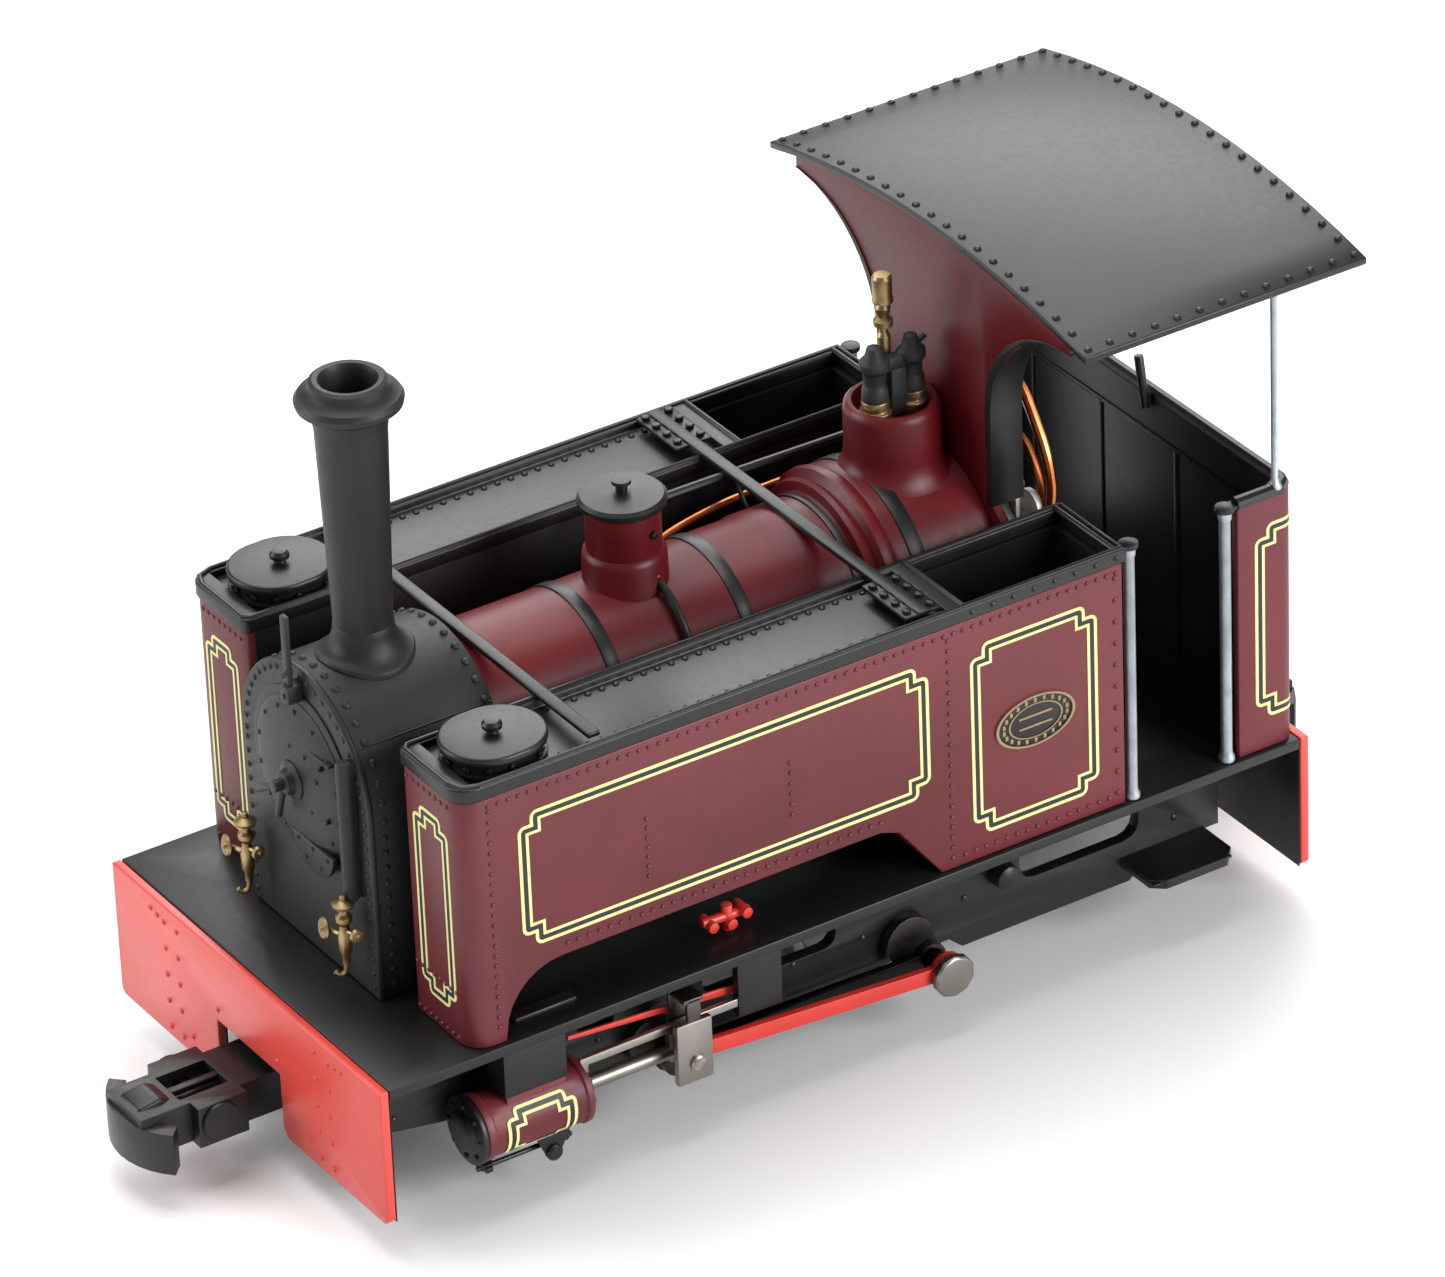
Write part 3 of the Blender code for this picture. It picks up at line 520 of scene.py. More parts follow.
    def pipe(self, path: Sequence[Point], radius: float, smooth: bool = True) -> "Shape":
        """Add a round pipe along a path.

        Args:
            path: the points that it follows.
            radius: its radius in millimetres.
            smooth: bend it in one curve, not in straight runs.

        Returns:
            The piece itself.
        """
        curve = bpy.data.curves.new("route", "CURVE")
        curve.dimensions = "3D"
        curve.bevel_depth = radius * MM
        curve.bevel_resolution = 3
        curve.use_fill_caps = True
        line = curve.splines.new("NURBS" if smooth else "POLY")
        line.points.add(len(path) - 1)
        for point, spot in zip(line.points, path):
            point.co = (*place(*spot), 1.0)
        if smooth:
            line.order_u = 3
            line.resolution_u = 5
            line.use_endpoint_u = True
        route = bpy.data.objects.new("route", curve)
        bpy.context.scene.collection.objects.link(route)
        graph = bpy.context.evaluated_depsgraph_get()
        drawn = bpy.data.meshes.new_from_object(route.evaluated_get(graph))
        shell = bmesh.new()
        shell.from_mesh(drawn)
        bmesh.ops.remove_doubles(shell, verts=shell.verts[:], dist=1e-7)
        bpy.data.meshes.remove(drawn)
        bpy.data.objects.remove(route)
        bpy.data.curves.remove(curve)
        return self.absorb(shell)

    def rivet(self, spot: Vector, facing: Vector, radius: float = 0.16,
              proud: float = 0.1) -> "Shape":
        """Add one low domed rivet head.

        Args:
            spot: its centre on the plate, in metres.
            facing: the plate's outward direction.
            radius: its radius in millimetres.
            proud: how far it stands out, in millimetres.

        Returns:
            The piece itself.
        """
        bmesh.ops.create_uvsphere(self.mesh, u_segments=8, v_segments=6, radius=1.0,
                                  matrix=stood(spot, facing, (radius, radius, proud)))
        return self

    def row(self, start: Point, end: Point, facing: Vector, pitch: float = 0.6,
            radius: float = 0.16, proud: float = 0.1) -> "Shape":
        """Add an even row of rivets.

        Args:
            start: the first rivet.
            end: the last rivet.
            facing: the plate's outward direction.
            pitch: about how far apart they are, in millimetres.
            radius: each rivet's radius in millimetres.
            proud: how far each stands out, in millimetres.

        Returns:
            The piece itself.
        """
        first, last = place(*start), place(*end)
        count = max(1, round((last - first).length / (pitch * MM)))
        for step in range(count + 1):
            self.rivet(first.lerp(last, step / count), facing, radius, proud)
        return self

    def nut(self, spot: Point, facing: Vector, radius: float, height: float) -> "Shape":
        """Add a six-sided nut with softened corners."""
        return self.turned(drum(radius, height), spot, facing, 6, 0.04)

    def copied(self, node: str, bevel: float = 0.06, segments: int = 2) -> "Shape":
        """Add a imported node's shape, merged and with softened edges.

        Args:
            node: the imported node.
            bevel: width of the softened edges in millimetres.
            segments: how many faces cross a softened edge.

        Returns:
            The piece itself.
        """
        shell = bmesh.new()
        shell.from_mesh(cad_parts[node].data)
        bmesh.ops.remove_doubles(shell, verts=shell.verts[:], dist=2e-6)
        bmesh.ops.dissolve_limit(shell, angle_limit=0.01, use_dissolve_boundaries=False,
                                 verts=shell.verts[:], edges=shell.edges[:])
        return self.absorb(shell, None, bevel, segments)

    def finished(self, name: str, finish: Finish, *stands_for: str, body: str = ENGINE) -> None:
        """Make the shells into a dressed piece that rides on its body.

        Args:
            name: the piece's name.
            finish: its finish.
            *stands_for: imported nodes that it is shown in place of.
            body: the body that it moves with.
        """
        data = bpy.data.meshes.new(name)
        self.mesh.to_mesh(data)
        self.mesh.free()
        data.polygons.foreach_set("use_smooth", [True] * len(data.polygons))
        data.set_sharp_from_angle(angle=CRISP)
        data.materials.append(finish.material())
        piece = bpy.data.objects.new(name, data)
        bpy.context.scene.collection.objects.link(piece)
        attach(piece, body)
        if stands_for:
            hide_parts(*stands_for)
        LOG.info("%s: %d faces on %s", name, len(data.polygons), body)


def dress(node: str, name: str, finish: Finish, bevel: float, body: str = ENGINE) -> None:
    """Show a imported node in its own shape, its edges softened and its surface finished."""
    Shape().copied(node, bevel).finished(name, finish, node, body=body)


def saddled(radius: float, top: float, bottom: float) -> Callable[[Vector], None]:
    """A change that lets a turned fitting's base follow the round shell under it.

    Args:
        radius: the shell's radius.
        top: the level above which nothing moves.
        bottom: the level below which the base follows in full.

    Returns:
        The change for one point.
    """

    def follow(point: Vector) -> None:
        """Lower one point of the base onto the shell."""
        share = min(1.0, max(0.0, (top - point.z) / (top - bottom)))
        point.z -= share * point.x**2 / (2 * radius)

    return follow


def notched(width: float, height: float, inset: float, notch: float = 0.72,
            rounding: float = 0.4, steps: int = 4) -> list[tuple[float, float]]:
    """A lined panel's outline: a rectangle with a rounded step at each corner.

    Args:
        width: half the panel's width.
        height: half the panel's height.
        inset: how far inside the panel's edge the outline runs.
        notch: the step's size.
        rounding: radius of the step's two outer corners.
        steps: faces around each of them.

    Returns:
        The outline's corners, about the panel's centre.
    """
    w, h, r = width - inset, height - inset, max(0.05, rounding - inset)
    quarter = [math.radians(90 * step / steps) for step in range(steps + 1)]
    low = [(w - r + r * math.cos(t), h - notch - r + r * math.sin(t)) for t in quarter]
    high = [(w - notch - r + r * math.cos(t), h - r + r * math.sin(t)) for t in quarter]
    corner = [*low, (w - notch, h - notch), *high]
    flip = [(-x, y) for x, y in reversed(corner)]
    return [*corner, *flip, *[(-x, -y) for x, y in [*corner, *flip]]]


def wrapped(width: float, height: float, first: float, last: float, notch: float,
            rounding: float, onto: Callable[[float, float], Point]) -> list[list[Point]]:
    """Two outlines of a lined panel laid onto a curved surface.

    Args:
        width: half the panel's width, measured round the surface.
        height: half the panel's height.
        first: inset of the line's outer edge.
        last: inset of the line's inner edge.
        notch: the corner step's size.
        rounding: radius of the step's outer corners.
        onto: puts a spot of the flat panel on the surface.

    Returns:
        The outer and the inner outline, with as many corners each.
    """
    outer, inner = (notched(width, height, inset, notch, rounding) for inset in (first, last))
    rings: list[list[Point]] = [[], []]
    for step, spot in enumerate(outer):
        following = (step + 1) % len(outer)
        count = max(1, math.ceil(math.dist(spot, outer[following]) / 0.3))
        for ring, line in zip(rings, (outer, inner)):
            start, end = Vector(line[step]), Vector(line[following])
            ring.extend(onto(*start.lerp(end, part / count)) for part in range(count))
    return rings


class Lining:
    """Printed lining, cream with black between, gathered in one piece of each ink."""

    def __init__(self) -> None:
        """Start with nothing printed."""
        self.cream, self.ink = Shape(), Shape()
        self.lines = ((self.cream, 0.0, 0.18), (self.ink, 0.18, 0.44), (self.cream, 0.44, 0.6))

    def flat(self, outline: Callable[[float], list[Point]], depth: Point) -> None:
        """Print one panel's lines on a flat plate, from its outline at each inset."""
        for shape, first, last in self.lines:
            shape.band(outline(first), outline(last), depth)

    def curved(self, width: float, height: float, notch: float, rounding: float,
               onto: Callable[[float, float], Point]) -> None:
        """Print one panel's lines round a curved plate, from half its width and height."""
        for shape, first, last in self.lines:
            shape.printed(*wrapped(width, height, first, last, notch, rounding, onto))

    def finished(self, cream: str, ink: str) -> None:
        """Finish both inks as pieces of these names."""
        self.cream.finished(cream, CREAM)
        self.ink.finished(ink, INK)


@dataclass
class Chassis:
    """Beams, running plate, frames and the weight between them."""

    tread_level: float = -5.6
    outer: float = 12.94
    bottom: float = -7.74
    bearing_x: float = 9.8

    def build(self) -> None:
        """Build and dress every chassis piece."""
        self.beams()
        self.plate()
        for side in Side:
            self.side_frame(side)
        dress("chassis_block", "chassis_weight", ZINC, 0.1)
        dress("keeper_plate", "keeper", BLACK, 0.05)
        for end in End:
            dress(f"coupler_screw_{end.word}", f"coupler_screw_{end.word}_turned", STEEL, 0.04)

    def beams(self) -> None:
        """The two red beams, each with its zig-zag columns of rivets and a black back."""
        for end in End:
            name, station, head = f"{end.word}_beam", end.station, (0.18, 0.11)
            beam = Shape().copied(name, 0.07)
            for hand in (-1, 1):
                for column, start in ((7.95, -0.95), (6.7, -0.9)):
                    x = hand * column
                    beam.row((x, station, start), (x, station, -7.2), end.outward, 1.6, *head)
                for x, level in ((9.25, -0.75), (8.6, -0.85), (2.9, -3.5), (5.7, -6.65)):
                    beam.rivet(place(hand * x, station, level), end.outward, *head)
            beam.finished(f"{name}_riveted", RED, name)
            near = station - end.value * 0.55
            far = near - end.value * 0.04
            backing = Shape()
            for left, right, low in ((-self.outer, -3.1, self.bottom),
                                     (3.1, self.outer, self.bottom), (-3.2, 3.2, -4.1)):
                backing.block((left, near, low), (right, far, -0.64), 0.01)
            backing.finished(f"{name}_backing", BLACK)

    def plate(self) -> None:
        """The running plate, with the low box on each side of it."""
        plate = Shape().copied("running_plate", 0.06)
        for side in Side:
            plate.block((side.value * 10.9, 8.6, -0.02), (side.value * 11.7, 12.2, 0.32), 0.1)
        plate.finished("running_plate_riveted", BLACK, "running_plate")

    def side_frame(self, side: Side) -> None:
        """One outside frame, with its bearings, rivets, brake boss and step treads.

        Args:
            side: the locomotive's hand.
        """
        hand, out, node = side.value, Way.outward(side), f"frame_{side.word}"
        x = hand * self.bearing_x
        sheet = Shape().copied(node, 0.06)
        for station in AXLES:
            sheet.turned([(0, 0), (1.35, 0), (1.35, 0.06), (1.0, 0.09), (0, 0.09)],
                         (x, station, AXLE_LEVEL), out, 24)
        for station in (2.5, 14.4, 26.0, 30.2, 36.4, 39.0, 49.4):
            for level in (-1.6, -4.2):
                sheet.rivet(place(x, station, level), out, 0.2, 0.12)
        sheet.turned([(0, 0), (0.75, 0), (0.7, 0.9), (0.3, 1.05), (0, 1.05)],
                     (x, 38.6, -3.4), out, 18, 0.05)
        for tread in range(5):
            near = 46.0 + tread * 1.1
            sheet.block((hand * 10.6, near, self.tread_level),
                        (hand * 12.9, near + 0.45, self.tread_level + 0.12), 0.03)
        sheet.finished(f"{node}_plated", BLACK, node)


@dataclass
class Drive:
    """Motor, worm, gear, axles and wheels."""

    throw: float = 1.5
    nut_x: float = 12.62

    def build(self) -> None:
        """Build and dress the driving train."""
        dress("motor", "motor_can", TYRE, 0.08)
        dress("worm", "worm_turned", BRASS, 0.03, "worm")
        for end in End:
            axle, body = f"axle_{end.word}", f"{end.word}_wheelset"
            dress(axle, f"{axle}_oiled", OILED, 0.04, body)
            for side in Side:
                wheel = f"wheel_{end.word}_{side.word}"
                dress(wheel, f"{wheel}_tyred", TYRE, 0.06, body)
        self.crank_nuts()
        dress("axle_gear", "axle_gear_moulded", ACETAL, 0.03, "rear_wheelset")

    def crank_nuts(self) -> None:
        """The nuts on the rear crank pins, which stand a quarter turn apart."""
        nuts = Shape()
        for side, degrees in ((Side.LEFT, -49), (Side.RIGHT, 41)):
            turn = math.radians(degrees)
            spot = (side.value * self.nut_x, AXLES[1] + self.throw * math.cos(turn),
                    AXLE_LEVEL + self.throw * math.sin(turn))
            nuts.turned([(0, -0.05), (1.1, -0.05), (1.2, 0.1), (1.2, 0.4), (1.05, 0.53), (0, 0.55)],
                        spot, Way.outward(side), 10, 0.04)
        nuts.finished("crank_pin_nuts", STEEL, body="rear_wheelset")


@dataclass
class Motion:
    """Cylinders, rods, crossheads and slide bars on both sides."""

    barrel: float = 1.74
    cylinder_station: float = 8.9
    crosshead_x: float = 11.35
    guide_x: float = 12.95

    def build(self) -> None:
        """Build and dress the motion of both sides."""
        for side in Side:
            word = side.word
            dress(f"cylinder_{word}", f"cylinder_{word}_lacquered", MAROON, 0.08)
            self.covers(side)
            self.lining(side)
            node = f"coupling_rod_{word}"
            dress(node, f"{node}_filed", OILED, 0.06, node)
            node = f"connecting_rod_{word}"
            dress(node, f"{node}_enamelled", RED, 0.07, node)
            dress(f"slide_bar_{word}", f"slide_bar_{word}_planed", STEEL, 0.05)
            self.crosshead(side)
            self.reach_rod(side)

    def covers(self, side: Side) -> None:
        """One cylinder's black parts: covers with studs, drain gear, chest and bar bracket.

        Args:
            side: the locomotive's hand.
        """
        hand, out, cover = side.value, Way.outward(side), Shape()
        x, lug = hand * CYLINDER_X, hand * 12.3
        for end, station, back in ((End.FRONT, 5.74, 0.3), (End.REAR, 11.95, 0.0)):
            if end is End.FRONT:
                profile = [(0, 0), (1.84, 0), (1.84, 0.3), (1.1, 0.38), (1.0, 0.62), (0, 0.7)]
                cover.turned(profile, (x, station, AXLE_LEVEL), end.outward, 32, 0.06)
            for stud in range(8):
                turn = math.tau * stud / 8
                spot = (x + 1.45 * math.cos(turn), station - back,
                        AXLE_LEVEL + 1.45 * math.sin(turn))
                cover.nut(spot, end.outward, 0.16, 0.14)
        cover.block((hand * 9.9, 6.2, -7.6), (hand * 12.2, 6.6, -7.3))
        for station in (6.4, 10.9):
            cover.rod((x, station, -6.6), (x, station, -7.5), 0.2, 12)
            cover.turned([(0, 0), (0.42, 0), (0.42, 0.35), (0, 0.5)], (x, station, -7.2),
                         -Way.UP.value, 16, 0.05)
        cover.plate([(lug, 9.0, -6.5), (lug, 11.0, -6.5), (lug, 10.3, -7.9), (lug, 9.6, -7.9)],
                    (hand * 0.16, 0, 0))
        cover.turned([(0, 0), (0.45, 0), (0.45, 0.3), (0.35, 0.4), (0, 0.4)], (lug, 9.95, -7.6),
                     out, 20)
        cover.rod((x + hand * 0.1, 5.9, -7.45), (x + hand * 0.1, 11.4, -7.45), 0.14, 12)
        cover.block((hand * 9.84, 7.2, -3.3), (hand * 12.74, 10.8, -0.68), 0.06)
        cover.block((hand * 11.5, 21.3, -4.36), (hand * 12.06, 23.9, -0.68), 0.06)
        cover.finished(f"cylinder_{side.word}_covers", BLACK)

    def lining(self, side: Side) -> None:
        """The stepped panel lined round the cylinder's outer face.

        Args:
            side: the locomotive's hand.
        """
        tilt = math.radians(-12)

        def onto(along: float, over: float) -> Point:
            """Put a spot of the flat panel on the barrel.

            Args:
                along: how far back it is from the panel's middle.
                over: how far round the barrel it is.

            Returns:
                The same spot on the barrel.
            """
            turn = tilt + over / self.barrel
            return (side.value * (CYLINDER_X + self.barrel * math.cos(turn)),
                    self.cylinder_station + along, AXLE_LEVEL + self.barrel * math.sin(turn))

        lining = Lining()
        lining.curved(2.0, 1.75, 0.5, 0.28, onto)
        lining.finished(f"cylinder_{side.word}_lining_cream", f"cylinder_{side.word}_lining_black")

    def crosshead(self, side: Side) -> None:
        """The crosshead on its slide bar, and the dark yoke that ties it to its outer plate.

        Args:
            side: the locomotive's hand.
        """
        x, node = side.value, f"crosshead_{side.word}"
        pin = (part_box(node)[1].y - FRONT_FACE) / MM - 1.0
        yoke = Shape()
        yoke.block((x * 12.7, pin - 0.4, -2.9), (x * self.guide_x, pin + 0.4, -1.55), 0.06)
        yoke.block((x * 11.33, pin - 0.6, -1.75), (x * self.guide_x, pin + 0.6, -1.5), 0.06)
        yoke.block((x * self.crosshead_x, pin - 0.6, -5.0), (x * 11.52, pin + 0.6, -1.6), 0.04)
        yoke.finished(f"{node}_yoke", OILED, body=node)
        head = Shape()
        head.block((x * 12.65, pin - 1.15, -6.3), (x * 13.1, pin + 0.95, -2.75), 0.12)
        head.block((x * self.crosshead_x, pin - 0.85, -5.55), (x * 11.93, pin + 0.85, -3.83), 0.1)
        head.rod((x * CYLINDER_X, pin - 0.5, AXLE_LEVEL), (x * CYLINDER_X, 10.95, AXLE_LEVEL), 0.4)
        head.turned([(0, 0), (0.46, 0), (0.46, 0.16), (0.36, 0.24), (0, 0.26)],
                    (x * 13.08, pin, -5.2), Way.outward(side), 20)
        head.finished(f"{node}_planed", STEEL, node, body=node)

    def reach_rod(self, side: Side) -> None:
        """The red reach rod along the frame and the lever cluster that it works.

        Args:
            side: the locomotive's hand.
        """
        x, gear = side.value, Shape()
        edge = ((11.8, -2.2), (23.3, -3.05), (23.5, -3.3), (23.3, -3.55), (11.8, -2.42))
        gear.plate([(x * 11.08, *corner) for corner in edge], (x * 0.17, 0, 0))
        gear.rod((x * 11.0, 22.0, -2.75), (x * 11.0, 22.0, -2.2), 0.3, 12)
        for station, level in ((20.6, 0.75), (21.7, 0.55), (22.6, 0.9)):
            gear.rod((x * 10.0, station, level), (x * 11.2, station, level), 0.3, 14)
        gear.rod((x * 10.6, 20.2, 0.9), (x * 10.6, 23.0, 0.75), 0.26, 12)
        gear.rod((x * 10.6, 21.7, 0.05), (x * 10.6, 21.7, 1.5), 0.3, 12)
        gear.finished(f"reach_rod_{side.word}", RED)


@dataclass
class Couplers:
    """The swinging couplers and their lifting hooks."""

    pin_reach: float = 3.2
    ridge_x: float = 0.95

    def build(self) -> None:
        """Build and dress both couplers."""
        for end in End:
            self.head(end)
            hook = f"coupler_hook_{end.word}"
            dress(hook, f"{hook}_moulded", BLACK, 0.05, hook)

    def head(self, end: End) -> None:
        """One moulded coupler head: its ridge, pivot pads and shank rib.

        Args:
            end: the locomotive's end.
        """
        node, station, away = f"coupler_{end.word}", end.station, end.value
        head = Shape().copied(node, 0.1, 3)
        ridge = ((4.75, -5.0), (5.6, -4.55), (6.9, -4.75), (7.1, -5.6), (4.75, -5.6))
        head.plate([(-self.ridge_x, station + away * reach, level) for reach, level in ridge],
                   (2 * self.ridge_x, 0, 0), 0.18, 3)
        for hand in (-1, 1):
            head.turned([(0, 0), (1.0, 0), (1.05, 0.1), (1.0, 0.22), (0, 0.25)],
                        (hand * 2.48, station + away * self.pin_reach, -5.9),
                        Vector((hand, 0, 0)), 20)
        head.block((-0.22, station + away * 1.85, -5.3), (0.22, station + away * 4.75, -4.95))
        head.finished(f"{node}_moulded", BLACK, node, body=node)


@dataclass
class Smokebox:
    """Smokebox, door, chimney and the fittings on the front plate."""

    radius: float = 6.0
    centre: float = BOILER_LEVEL
    foot: float = 0.06
    front: float = 4.6
    rear: float = 12.4
    chimney_station: float = 8.1
    lubricator_x: float = 4.7
    lubricator_station: float = 3.3

    def build(self) -> None:
        """Build and dress the front of the boiler."""
        self.wrapper()
        self.door()
        self.chimney()
        self.lamp_iron()
        for side in Side:
            self.lubricator(side)

    def arch(self, grow: float, station: float, steps: int = 48) -> list[Point]:
        """The smokebox's round-topped outline, from its right foot over to its left foot.

        Args:
            grow: how far outside the wrapper it runs.
            station: how far back it is.
            steps: faces over the arch.

        Returns:
            The outline's corners.
        """
        radius = self.radius + grow
        turns = [math.pi * step / steps for step in range(steps + 1)]
        over = [(-radius * math.cos(t), station, self.centre + radius * math.sin(t)) for t in turns]
        return [(-radius, station, self.foot), *over, (radius, station, self.foot)]

    def around(self, radius: float, turn: float, station: float) -> tuple[Vector, Vector]:
        """A spot on the wrapper and the way that it faces.

        Args:
            radius: distance from the centre line of the boiler.
            turn: degrees from the right-hand side over the top.
            station: how far back it is.

        Returns:
            The spot in metres and its outward direction.
        """
        angle = math.radians(turn)
        x, level = -radius * math.cos(angle), radius * math.sin(angle)
        return place(x, station, self.centre + level), Vector((x, 0, level)).normalized()

    def wrapper(self) -> None:
        """The rolled wrapper and its front plate, riveted along both edges."""
        box, face = Shape(), self.front - 0.32
        box.plate(self.arch(0.0, self.front), (0, self.rear - self.front, 0), 0.05)
        box.plate(self.arch(0.1, face), (0, 0.34, 0), 0.14, 3)
        for station in (self.front + 0.55, self.rear - 0.4):
            for step in range(19):
                box.rivet(*self.around(self.radius, step * 10, station), 0.22, 0.17)
            for side in Side:
                x = side.value * self.radius
                box.row((x, station, 0.8), (x, station, 9.2), Way.outward(side), 0.85, 0.2, 0.14)
        for step in range(25):
            spot, _ = self.around(self.radius - 0.35, step * 7.5, face)
            box.rivet(spot, Way.AHEAD.value, 0.17, 0.1)
        for side in Side:
            x = side.value * (self.radius - 0.35)
            box.row((x, face, 0.7), (x, face, 9.6), Way.AHEAD.value, 0.8, 0.17, 0.1)
            seam = self.around(self.radius + 0.01, 90 + side.value * 52, self.front)[0]
            x, level = seam.x / MM, (seam.z - PLATE_TOP) / MM
            box.block((x - 0.06, self.front + 0.1, level - 0.06),
                      (x + 0.06, self.rear - 0.1, level + 0.04), 0.02)
        box.finished("smokebox_wrapper", SOOT, "smokebox")

    def door(self) -> None:
        """The dished door with its ring, hinge strap, hinge bar and dart."""
        station, ahead, door = self.front - 0.3, Way.AHEAD.value, Shape()
        middle = (0, station, self.centre)
        ring = [(4.75, 0), (4.75, 0.12), (4.2, 0.2), (4.1, 0)]
        door.turned(ring, middle, ahead, 64, 0.04, closed=True)
        dish = [(0, 0), (4.25, 0), (4.25, 0.22), (4.0, 0.34), (3.4, 0.5), (2.4, 0.66), (1.2, 0.75),
                (0, 0.78)]
        door.turned(dish, middle, ahead, 64)
        for step in range(14):
            turn = math.tau * step / 14
            spot = place(3.75 * math.sin(turn), station - 0.4, self.centre + 3.75 * math.cos(turn))
            door.rivet(spot, ahead, 0.15, 0.12)
        seam = self.centre + 2.3
        door.block((-0.6, station - 0.62, seam - 0.08), (3.4, station - 0.3, seam + 0.08), 0.04)
        for x, drop in ((-0.2, 0.45), (1.2, 0.45), (2.6, 0.45), (1.6, 3.4), (3.0, 3.3), (2.2, 1.4)):
            door.rivet(place(x, station - 0.62, seam - drop), ahead, 0.15, 0.16)
        boss = [(0, 0.5), (1.05, 0.5), (1.05, 0.85), (0.7, 0.95), (0.6, 1.3), (0.35, 1.4), (0, 1.4)]
        door.turned(boss, middle, ahead, 24, 0.05)
        near = station - 1.25
        door.rod((0, near, self.centre), (-0.55, near - 0.1, self.centre - 2.1), 0.2, 12)
        door.rod((0, near - 0.4, self.centre), (-1.75, near - 0.5, self.centre - 1.0), 0.2, 12)
        door.rod((0, near + 0.2, self.centre), (0, near - 0.65, self.centre), 0.32)
        self.hatch(door, station)
        bar = [(0, 0), (0.36, 0), (0.42, 0.2), (0.42, 7.6), (0.36, 7.85), (0, 7.9)]
        door.turned(bar, (4.65, station - 0.45, 5.5), steps=20)
        door.block((4.35, station - 0.45, 5.6), (4.95, station + 0.05, 13.3), 0.08)
        door.finished("smokebox_door_dished", SOOT, "smokebox_door")

    def hatch(self, door: Shape, station: float) -> None:
        """Add the half-round ash hatch low on the door, with its rivets.

        Args:
            door: the piece that takes it.
            station: the station of the door's seat.
        """
        flat = self.centre - 3.1
        turns = [math.pi * (1 + step / 20) for step in range(21)]
        door.plate([(1.3 + 1.95 * math.cos(t), station - 0.3, flat + 1.75 * math.sin(t))
                    for t in turns], (0, -0.3, 0), 0.08)
        for x, drop in ((-0.1, 0.3), (1.3, 0.3), (2.7, 0.3), (0.6, 1.1), (2.0, 1.1)):
            door.rivet(place(x, station - 0.6, flat - drop), Way.AHEAD.value, 0.13, 0.1)

    def chimney(self) -> None:
        """The tapered chimney, its lipped cap and its base dressed to the wrapper."""
        cap = [(1.35, 31.0), (1.5, 31.28), (1.75, 31.32), (1.95, 31.2), (2.0, 30.85), (2.2, 30.62),
               (2.55, 30.5), (2.72, 30.25), (2.66, 29.95), (2.3, 29.7), (1.95, 29.45),
               (1.88, 29.05)]
        stem = [(1.82, 28.6), (1.5, 17.9), (1.5, 17.72), (1.54, 17.66), (1.56, 17.3)]
        foot = [(1.66, 17.0), (1.85, 16.65), (2.15, 16.42), (2.42, 16.36), (2.5, 16.25),
                (2.48, 16.02), (2.3, 15.95), (0, 15.95)]
        profile = [(0, 26.0), (1.35, 26.0), *cap, *stem, *foot]
        chimney = Shape().turned(profile, (0, self.chimney_station, 0), steps=64,
                                 reshape=saddled(self.radius, 17.6, 16.2))
        chimney.finished("chimney_stack", SOOT, "chimney")

    def lamp_iron(self) -> None:
        """The upright lamp iron with its bolted pad in front of the chimney."""
        iron = Shape()
        iron.block((-0.25, 3.55, 15.4), (0.25, 3.85, 19.5), 0.08)
        iron.block((-0.4, 3.4, 14.6), (0.4, 4.4, 15.6), 0.12)
        for level in (15.0, 16.2):
            iron.nut((0, 3.5, level), Way.AHEAD.value, 0.16, 0.2)
        iron.finished("lamp_iron_front", SOOT)

    def lubricator(self, side: Side) -> None:
        """One brass displacement lubricator with its cap, wheel and curled drain.

        Args:
            side: the locomotive's hand.
        """
        x, station, pot = side.value * self.lubricator_x, self.lubricator_station, Shape()
        pot.turned([(0, 1.9), (0.2, 1.95), (0.22, 2.5), (0.33, 2.7), (0.36, 3.6), (0.27, 4.0),
                    (0.22, 4.2), (0.42, 4.5), (0.42, 4.75), (0.24, 4.9), (0.2, 5.2), (0.52, 5.3),
                    (0.58, 5.48), (0.42, 5.6), (0.16, 5.7), (0.17, 5.95), (0, 6.0)],
                   (x, station, 0), steps=24)
        pot.rod((x - 1.3, station - 0.35, 3.5), (x, station, 3.6), 0.13, 12)
        wheel = [(0, 0), (0.48, 0), (0.58, 0.08), (0.5, 0.18), (0.16, 0.16), (0.1, 0.3), (0, 0.3)]
        pot.turned(wheel, (x - 1.3, station - 0.35, 3.5), Vector((-0.15, -1, 0.15)), 24)
        pot.rod((x, station, 3.9), (x + 1.2, station + 0.15, 4.1), 0.13, 12)
        pot.turned([(0, 0), (0.32, 0), (0.38, 0.1), (0.32, 0.24), (0, 0.26)],
                   (x + 0.85, station + 0.1, 4.05), Way.LEFTWARD.value, 16)
        pot.pipe([(x, station, 2.1), (x, station, 1.5), (x - 0.2, station - 0.3, 1.25),
                  (x - 0.3, station - 0.5, 1.5)], 0.13)
        pot.finished(f"lubricator_{side.word}", BRASS)


